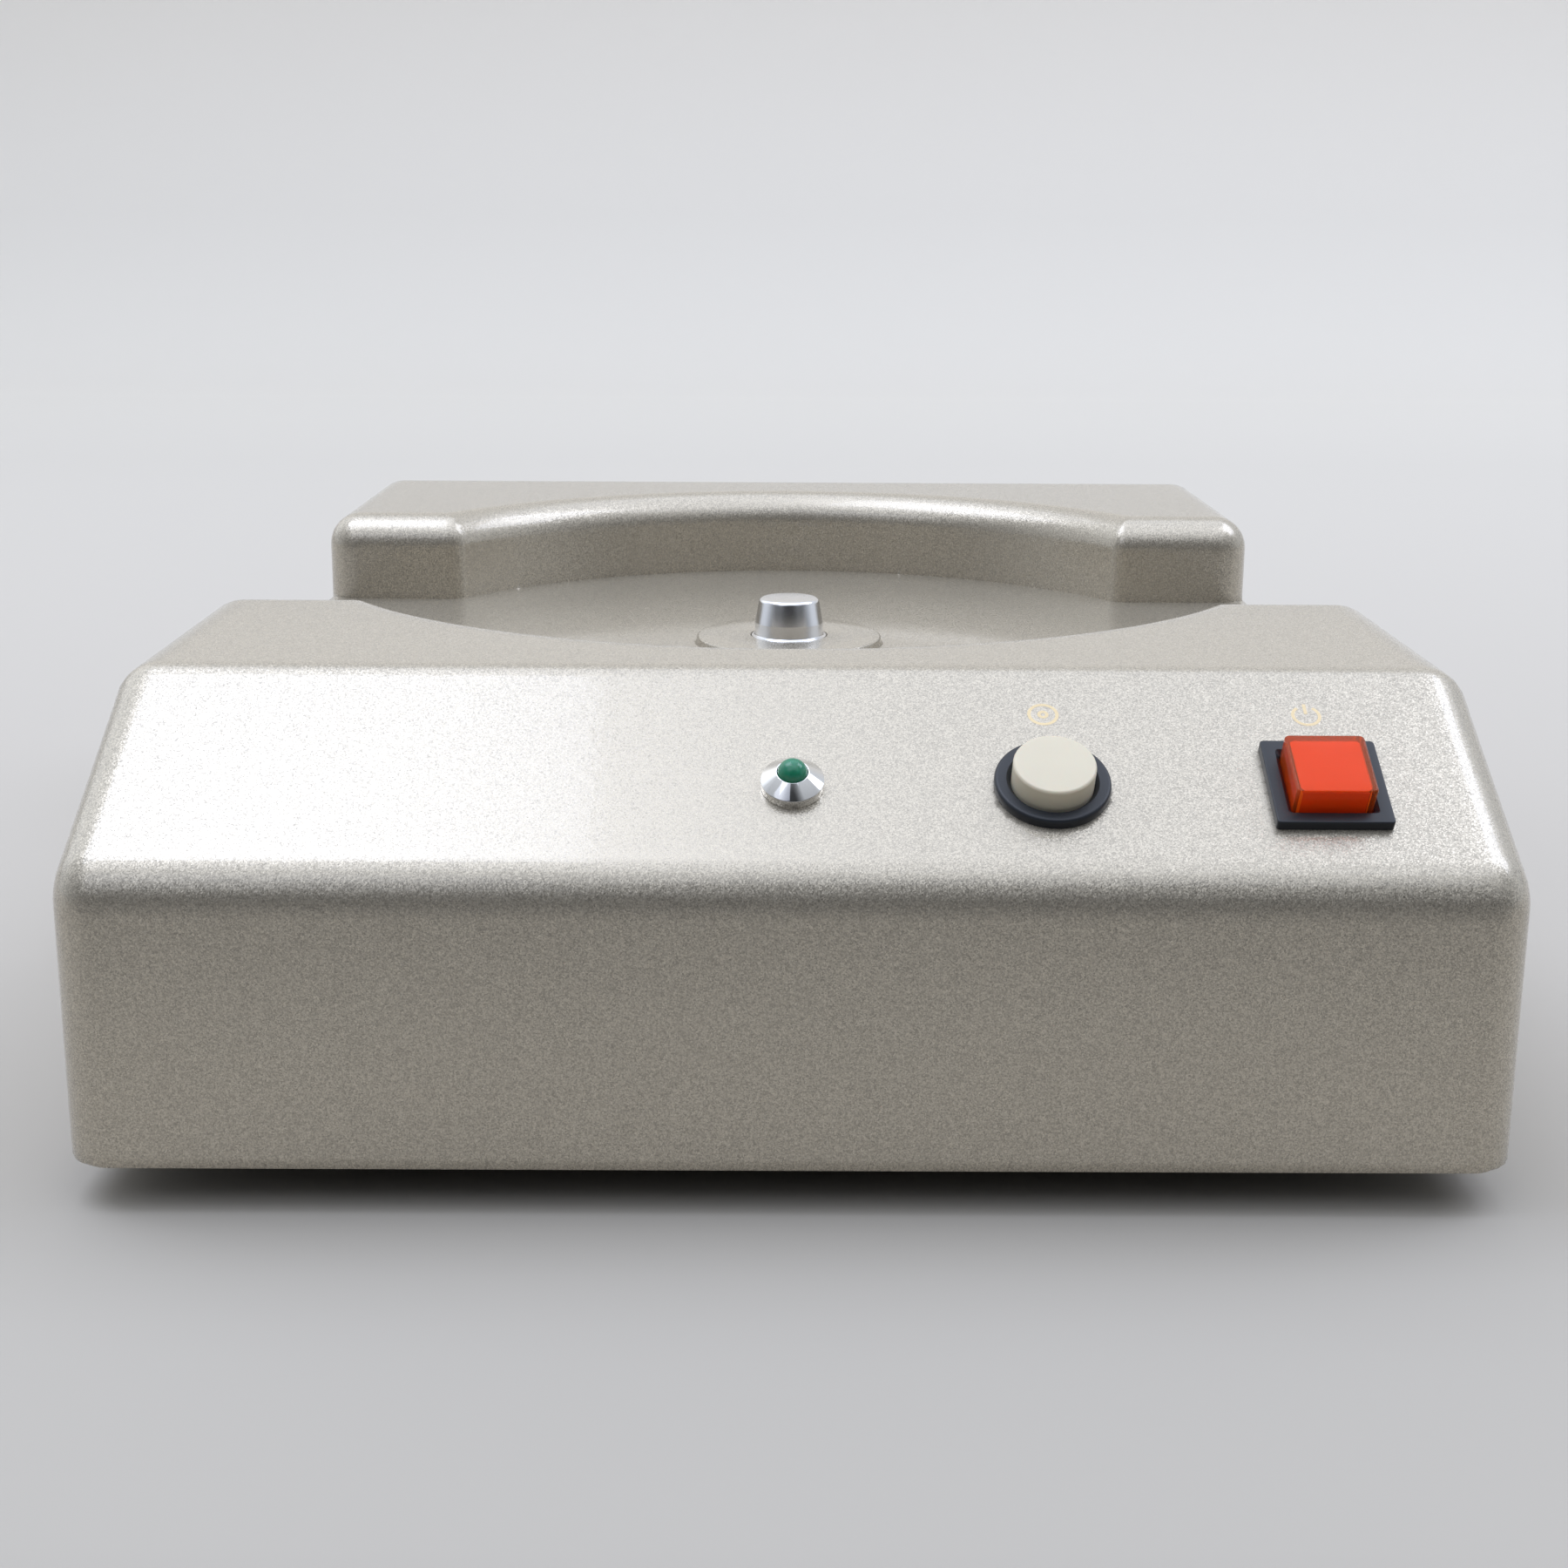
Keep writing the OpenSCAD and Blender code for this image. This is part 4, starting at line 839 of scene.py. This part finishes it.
def erase_button():
    """Round push button: dark bezel and housing, ivory cap."""
    bore = ERASE_CAP_R + SLIDE_GAP
    chamber = bore + CHAMBER_OUT
    end = ERASE_FLOOR - BUTTON_FLOOR_T
    verts, faces = lathe(rounded([
        (0.0, end, 0), (ERASE_BARREL_R, end, 0.3), (ERASE_BARREL_R, 0.0, 0), (ERASE_BEZEL_R, 0.0, 0.08),
        (ERASE_BEZEL_R, BEZEL_T, 0.45), (bore + MOUTH_BEVEL, BEZEL_T, 0.15),
        (bore, BEZEL_T - MOUTH_BEVEL_H, 0.1), (bore, -MOUTH_L, 0), (chamber, -MOUTH_L, 0),
        (chamber, ERASE_FLOOR, 0), (0.0, ERASE_FLOOR, 0)]), 128)
    add_piece("erase_bezel", verts, faces, panel_place(ERASE_X), "switch_black", replaces=["erase_housing"])
    roof = ERASE_OUT - ERASE_ROOF
    verts, faces = lathe(rounded([
        (ERASE_POST_R, BUTTON_STOP, 0), (ERASE_CAP_R, BUTTON_STOP, 0),
        (ERASE_CAP_R, ERASE_OUT - ERASE_DOME, 0.4), (0.0, ERASE_OUT, 0)], 8)
        + [(0.0, roof), (ERASE_POST_R, roof), (ERASE_POST_R, BUTTON_STOP)], 128)
    add_piece("erase_button_cap", verts, faces, panel_place(ERASE_X), "ivory", "erase_button", ["erase_cap"])
    return_spring("erase_return_spring", "erase_spring", ERASE_X, ERASE_FLOOR, ERASE_SPRING_TURNS)


def power_button():
    """Square push button: dark bezel and housing, clear red lens over an orange-red block."""
    bore = POWER_LENS_HALF + SLIDE_GAP
    chamber = bore + CHAMBER_OUT
    end = POWER_FLOOR - BUTTON_FLOOR_T
    verts, faces = square_loft(rounded([
        (0.0, end, 0), (POWER_BODY_HALF, end, 0.3), (POWER_BODY_HALF, 0.0, 0), (POWER_BEZEL_HALF, 0.0, 0.05),
        (POWER_BEZEL_HALF, BEZEL_T, 0.18), (bore + MOUTH_BEVEL, BEZEL_T, 0.12),
        (bore, BEZEL_T - MOUTH_BEVEL_H, 0.1), (bore, -MOUTH_L, 0), (chamber, -MOUTH_L, 0),
        (chamber, POWER_FLOOR, 0), (0.0, POWER_FLOOR, 0)]), 0.45)
    add_piece("power_bezel", verts, faces, panel_place(POWER_X), "switch_black", replaces=["power_housing"])
    inner = POWER_LENS_HALF - LENS_WALL
    roof = POWER_OUT - LENS_WALL
    verts, faces = square_loft(rounded([
        (inner, BUTTON_STOP, 0), (POWER_LENS_HALF, BUTTON_STOP, 0), (POWER_LENS_HALF, POWER_OUT, 0.3),
        (0.0, POWER_OUT, 0)]) + [(0.0, roof), (inner, roof), (inner, BUTTON_STOP)], 0.6)
    add_piece("power_button_lens", verts, faces, panel_place(POWER_X), "red_lens", "power_button",
              ["power_lens"])
    core, top = inner - CORE_GAP, roof - CORE_GAP
    verts, faces = square_loft(rounded([
        (0.0, BUTTON_STOP, 0), (core, BUTTON_STOP, 0), (core, top, 0.2), (0.0, top, 0)]), 0.4)
    add_piece("power_button_core", verts, faces, panel_place(POWER_X), "red_diffuser", "power_button",
              ["power_diffuser"])
    return_spring("power_return_spring", "power_spring", POWER_X, POWER_FLOOR, POWER_SPRING_TURNS)


def ribbon(points, width, height, closed=False):
    """Flat printed line of a given width along points (x, y)."""
    verts, rings = [], []
    count = len(points)
    for i, p in enumerate(points):
        p = np.array(p, float)
        before = np.array(points[i - 1] if closed or i else p, float)
        after = np.array(points[(i + 1) % count] if closed or i < count - 1 else p, float)
        way = (after - before) / np.linalg.norm(after - before)
        side = np.array((-way[1], way[0])) * width / 2
        rings.append(list(range(len(verts), len(verts) + 4)))
        verts += [(*(p + side), height), (*(p - side), height), (*(p - side), 0.0), (*(p + side), 0.0)]
    if closed:
        rings.append(rings[0])
        return verts, bridge(rings)
    return verts, bridge(rings) + [rings[0][::-1], rings[-1]]


def arc(r, start_deg, end_deg, steps=40):
    """Points on an arc about the origin."""
    turn = [math.radians(start_deg + (end_deg - start_deg) * k / steps) for k in range(steps + 1)]
    return [(r * math.cos(a), r * math.sin(a)) for a in turn]


def print_mark(name, x, strokes):
    """Pale gold pictogram above a control: strokes of (points, closed)."""
    verts, faces = [], []
    for points, closed in strokes:
        v, f = ribbon(points, MARK_LINE, MARK_THICK, closed)
        faces += [[i + len(verts) for i in face] for face in f]
        verts += v
    place = panel_place(x) @ Matrix.Translation(Vector((0, MARK_UP, 0)) * MM)
    add_piece(name, verts, faces, place, "case_paint", material=INK)


def panel_marks():
    """Generic signs: a disc over the round button and the common power sign over the square one."""
    disc = [(arc(1.75, 0, 351), True), (arc(0.5, 0, 345, 24), True)]
    print_mark("disc_mark", ERASE_X, disc)
    power = [(arc(1.65, 125, 415), False), ([(0, 0.3), (0, 2.1)], False)]
    print_mark("power_mark", POWER_X, power)


def soften(node, width_mm, segments=2):
    """Small rounded edges on a node that keeps its CAD shape."""
    obj = frame["nodes"][node]
    obj.modifiers.new("weld", "WELD").merge_threshold = 1e-6
    bevel = obj.modifiers.new("edges", "BEVEL")
    bevel.limit_method = "ANGLE"
    bevel.angle_limit = math.radians(40)
    bevel.width = width_mm * MM
    bevel.segments = segments
    bevel.use_clamp_overlap = True
    obj.modifiers.new("normals", "WEIGHTED_NORMAL").keep_sharp = False


def dress_nodes():
    """CAD nodes that keep their shape: material of their slot, and soft edges on what shows."""
    for part in frame["record"]["subparts"]:
        obj = frame["nodes"][part["node"]]
        obj.data.materials.clear()
        obj.data.materials.append(LOOKS[part["material_slot"]])
    for node, width in (
        ("fuse_drawer", 0.35), ("inlet_pins", 0.3), ("base_screws", 0.25), ("foot_screws", 0.25),
        ("foot_front_left", 0.5), ("foot_front_right", 0.5),
        ("foot_rear_left", 0.5), ("foot_rear_right", 0.5),
    ):
        soften(node, width)


# Stage, light and camera
def floor_look():
    """Pale floor with painted light and shade: paler up the backdrop behind the part, and darker towards the
    viewer with painted shade.
    """
    s = Shader("studio_floor", Roughness=0.9, Specular_IOR_Level=0.2)
    depth = s.add("ShaderNodeSeparateXYZ", Vector=s.place()).outputs["Y"]
    near, far = FLOOR_TONES_PAINTED_LIGHT_AND_SHADE[0][0], FLOOR_TONES_PAINTED_LIGHT_AND_SHADE[-1][0]
    along = s.add("ShaderNodeMapRange", Value=depth, From_Min=near, From_Max=far).outputs["Result"]
    ramp = s.add("ShaderNodeValToRGB", Fac=along)
    stops = ramp.color_ramp.elements
    stops[0].color = (*FLOOR_TONES_PAINTED_LIGHT_AND_SHADE[0][1], 1)
    stops[1].color = (*FLOOR_TONES_PAINTED_LIGHT_AND_SHADE[-1][1], 1)
    for y, color in FLOOR_TONES_PAINTED_LIGHT_AND_SHADE[1:-1]:
        stops.new((y - near) / (far - near)).color = (*color, 1)
    s.set("Base Color", ramp.outputs["Color"])
    return s.material


def studio():
    """Pale floor that curves up into a backdrop well behind the part."""
    section = [(FLOOR_FRONT, 0.0)]
    section += [(FLOOR_BACK - FLOOR_BEND + FLOOR_BEND * math.sin(a), FLOOR_BEND - FLOOR_BEND * math.cos(a))
                for a in np.linspace(0, math.pi / 2, 24)]
    verts = [(side * FLOOR_HALF_W, y, z) for y, z in section for side in (-1, 1)]
    faces = [(2 * k, 2 * k + 1, 2 * k + 3, 2 * k + 2) for k in range(len(section) - 1)]
    mesh = bpy.data.meshes.new("studio_floor")
    mesh.from_pydata(verts, [], faces)
    mesh.polygons.foreach_set("use_smooth", [True] * len(mesh.polygons))
    floor = bpy.data.objects.new("studio_floor", mesh)
    bpy.context.scene.collection.objects.link(floor)
    mesh.materials.append(floor_look())


def soft_light(name, left, right, front, back, height, level):
    """Level soft box overhead that shines down, between two sides and two ends, as bright as level."""
    data = bpy.data.lights.new(name, "AREA")
    data.shape = "RECTANGLE"
    data.size, data.size_y = right - left, back - front
    data.energy = level * math.pi * data.size * data.size_y
    data.color = LAMP_COLOR
    light = bpy.data.objects.new(name, data)
    bpy.context.scene.collection.objects.link(light)
    light.location = ((left + right) / 2, (front + back) / 2, height)


def soft_boxes():
    """Wide soft light overhead, brighter to both sides, with weaker boxes in front."""
    for name, box in SOFT_BOXES.items():
        soft_light(name, *box)


def sky():
    """World light: darker low down and towards the viewer, even behind the part."""
    world = bpy.data.worlds.new("studio_world")
    bpy.context.scene.world = world
    world.use_nodes = True
    tree = world.node_tree

    def join(kind, operation, *sources):
        """New maths node with its inputs linked or set."""
        node = tree.nodes.new(kind)
        node.operation = operation
        for source, socket in zip(sources, node.inputs):
            if isinstance(source, bpy.types.NodeSocket):
                tree.links.new(source, socket)
            else:
                socket.default_value = source
        return node

    def level(source, low, high, at_low, at_high):
        """Output that runs from at_low to at_high as the source goes from low to high."""
        node = tree.nodes.new("ShaderNodeMapRange")
        for socket, value in zip(("From Min", "From Max", "To Min", "To Max"), (low, high, at_low, at_high)):
            node.inputs[socket].default_value = value
        tree.links.new(source, node.inputs["Value"])
        return node.outputs["Result"]

    way = tree.nodes.new("ShaderNodeTexCoord").outputs["Generated"]
    split = tree.nodes.new("ShaderNodeSeparateXYZ")
    tree.links.new(way, split.inputs["Vector"])
    rise = level(split.outputs["Z"], *SKY_RISE)
    to_viewer = join("ShaderNodeVectorMath", "DOT_PRODUCT", way, TO_VIEWER).outputs["Value"]
    dimmed = join("ShaderNodeMath", "MULTIPLY", rise, level(to_viewer, *SKY_DIM)).outputs["Value"]
    behind = level(split.outputs["Y"], *SKY_BEHIND)
    to_glow = join("ShaderNodeVectorMath", "DOT_PRODUCT", way, TO_GLOW).outputs["Value"]
    glow = join("ShaderNodeMath", "MAXIMUM", behind, level(to_glow, *SKY_GLOW)).outputs["Value"]
    strength = join("ShaderNodeMath", "MAXIMUM", dimmed, glow).outputs["Value"]
    background = tree.nodes["Background"]
    warm = tree.nodes.new("ShaderNodeMix")
    warm.data_type = "RGBA"
    warm.inputs[6].default_value = SKY_COOL
    warm.inputs[7].default_value = SKY_WARM
    tree.links.new(level(split.outputs["Y"], *SKY_WARMTH), warm.inputs["Factor"])
    tree.links.new(warm.outputs[2], background.inputs["Color"])
    tree.links.new(strength, background.inputs["Strength"])


def camera():
    """Camera at the photograph's place: looking down the pitch, with a hair of yaw and roll."""
    data = bpy.data.cameras.new("camera")
    data.sensor_width = SENSOR_MM
    data.lens = FOCAL_PX / IMAGE_PX * SENSOR_MM
    data.clip_start = 0.01
    cam = bpy.data.objects.new("camera", data)
    bpy.context.scene.collection.objects.link(cam)
    forward = Vector((
        math.sin(CAMERA_YAW) * math.cos(CAMERA_PITCH),
        math.cos(CAMERA_YAW) * math.cos(CAMERA_PITCH),
        -math.sin(CAMERA_PITCH)))
    right = Vector((math.cos(CAMERA_YAW), -math.sin(CAMERA_YAW), 0))
    down = forward.cross(right)
    across = right * math.cos(CAMERA_ROLL) + down * math.sin(CAMERA_ROLL)
    up = right * math.sin(CAMERA_ROLL) - down * math.cos(CAMERA_ROLL)
    cam.matrix_world = Matrix.Translation(CASE_ORIGIN + CAMERA_AT * MM) @ Matrix(
        (across, up, -forward)).transposed().to_4x4()
    bpy.context.scene.camera = cam


camera()
studio()
soft_boxes()
sky()
dress_nodes()
case_shell()
mains_inlet()
disc_seat()
disc_spindle()
lamp()
erase_button()
power_button()
panel_marks()

bpy.context.scene.view_settings.view_transform = "Standard"
bpy.context.view_layer.update()
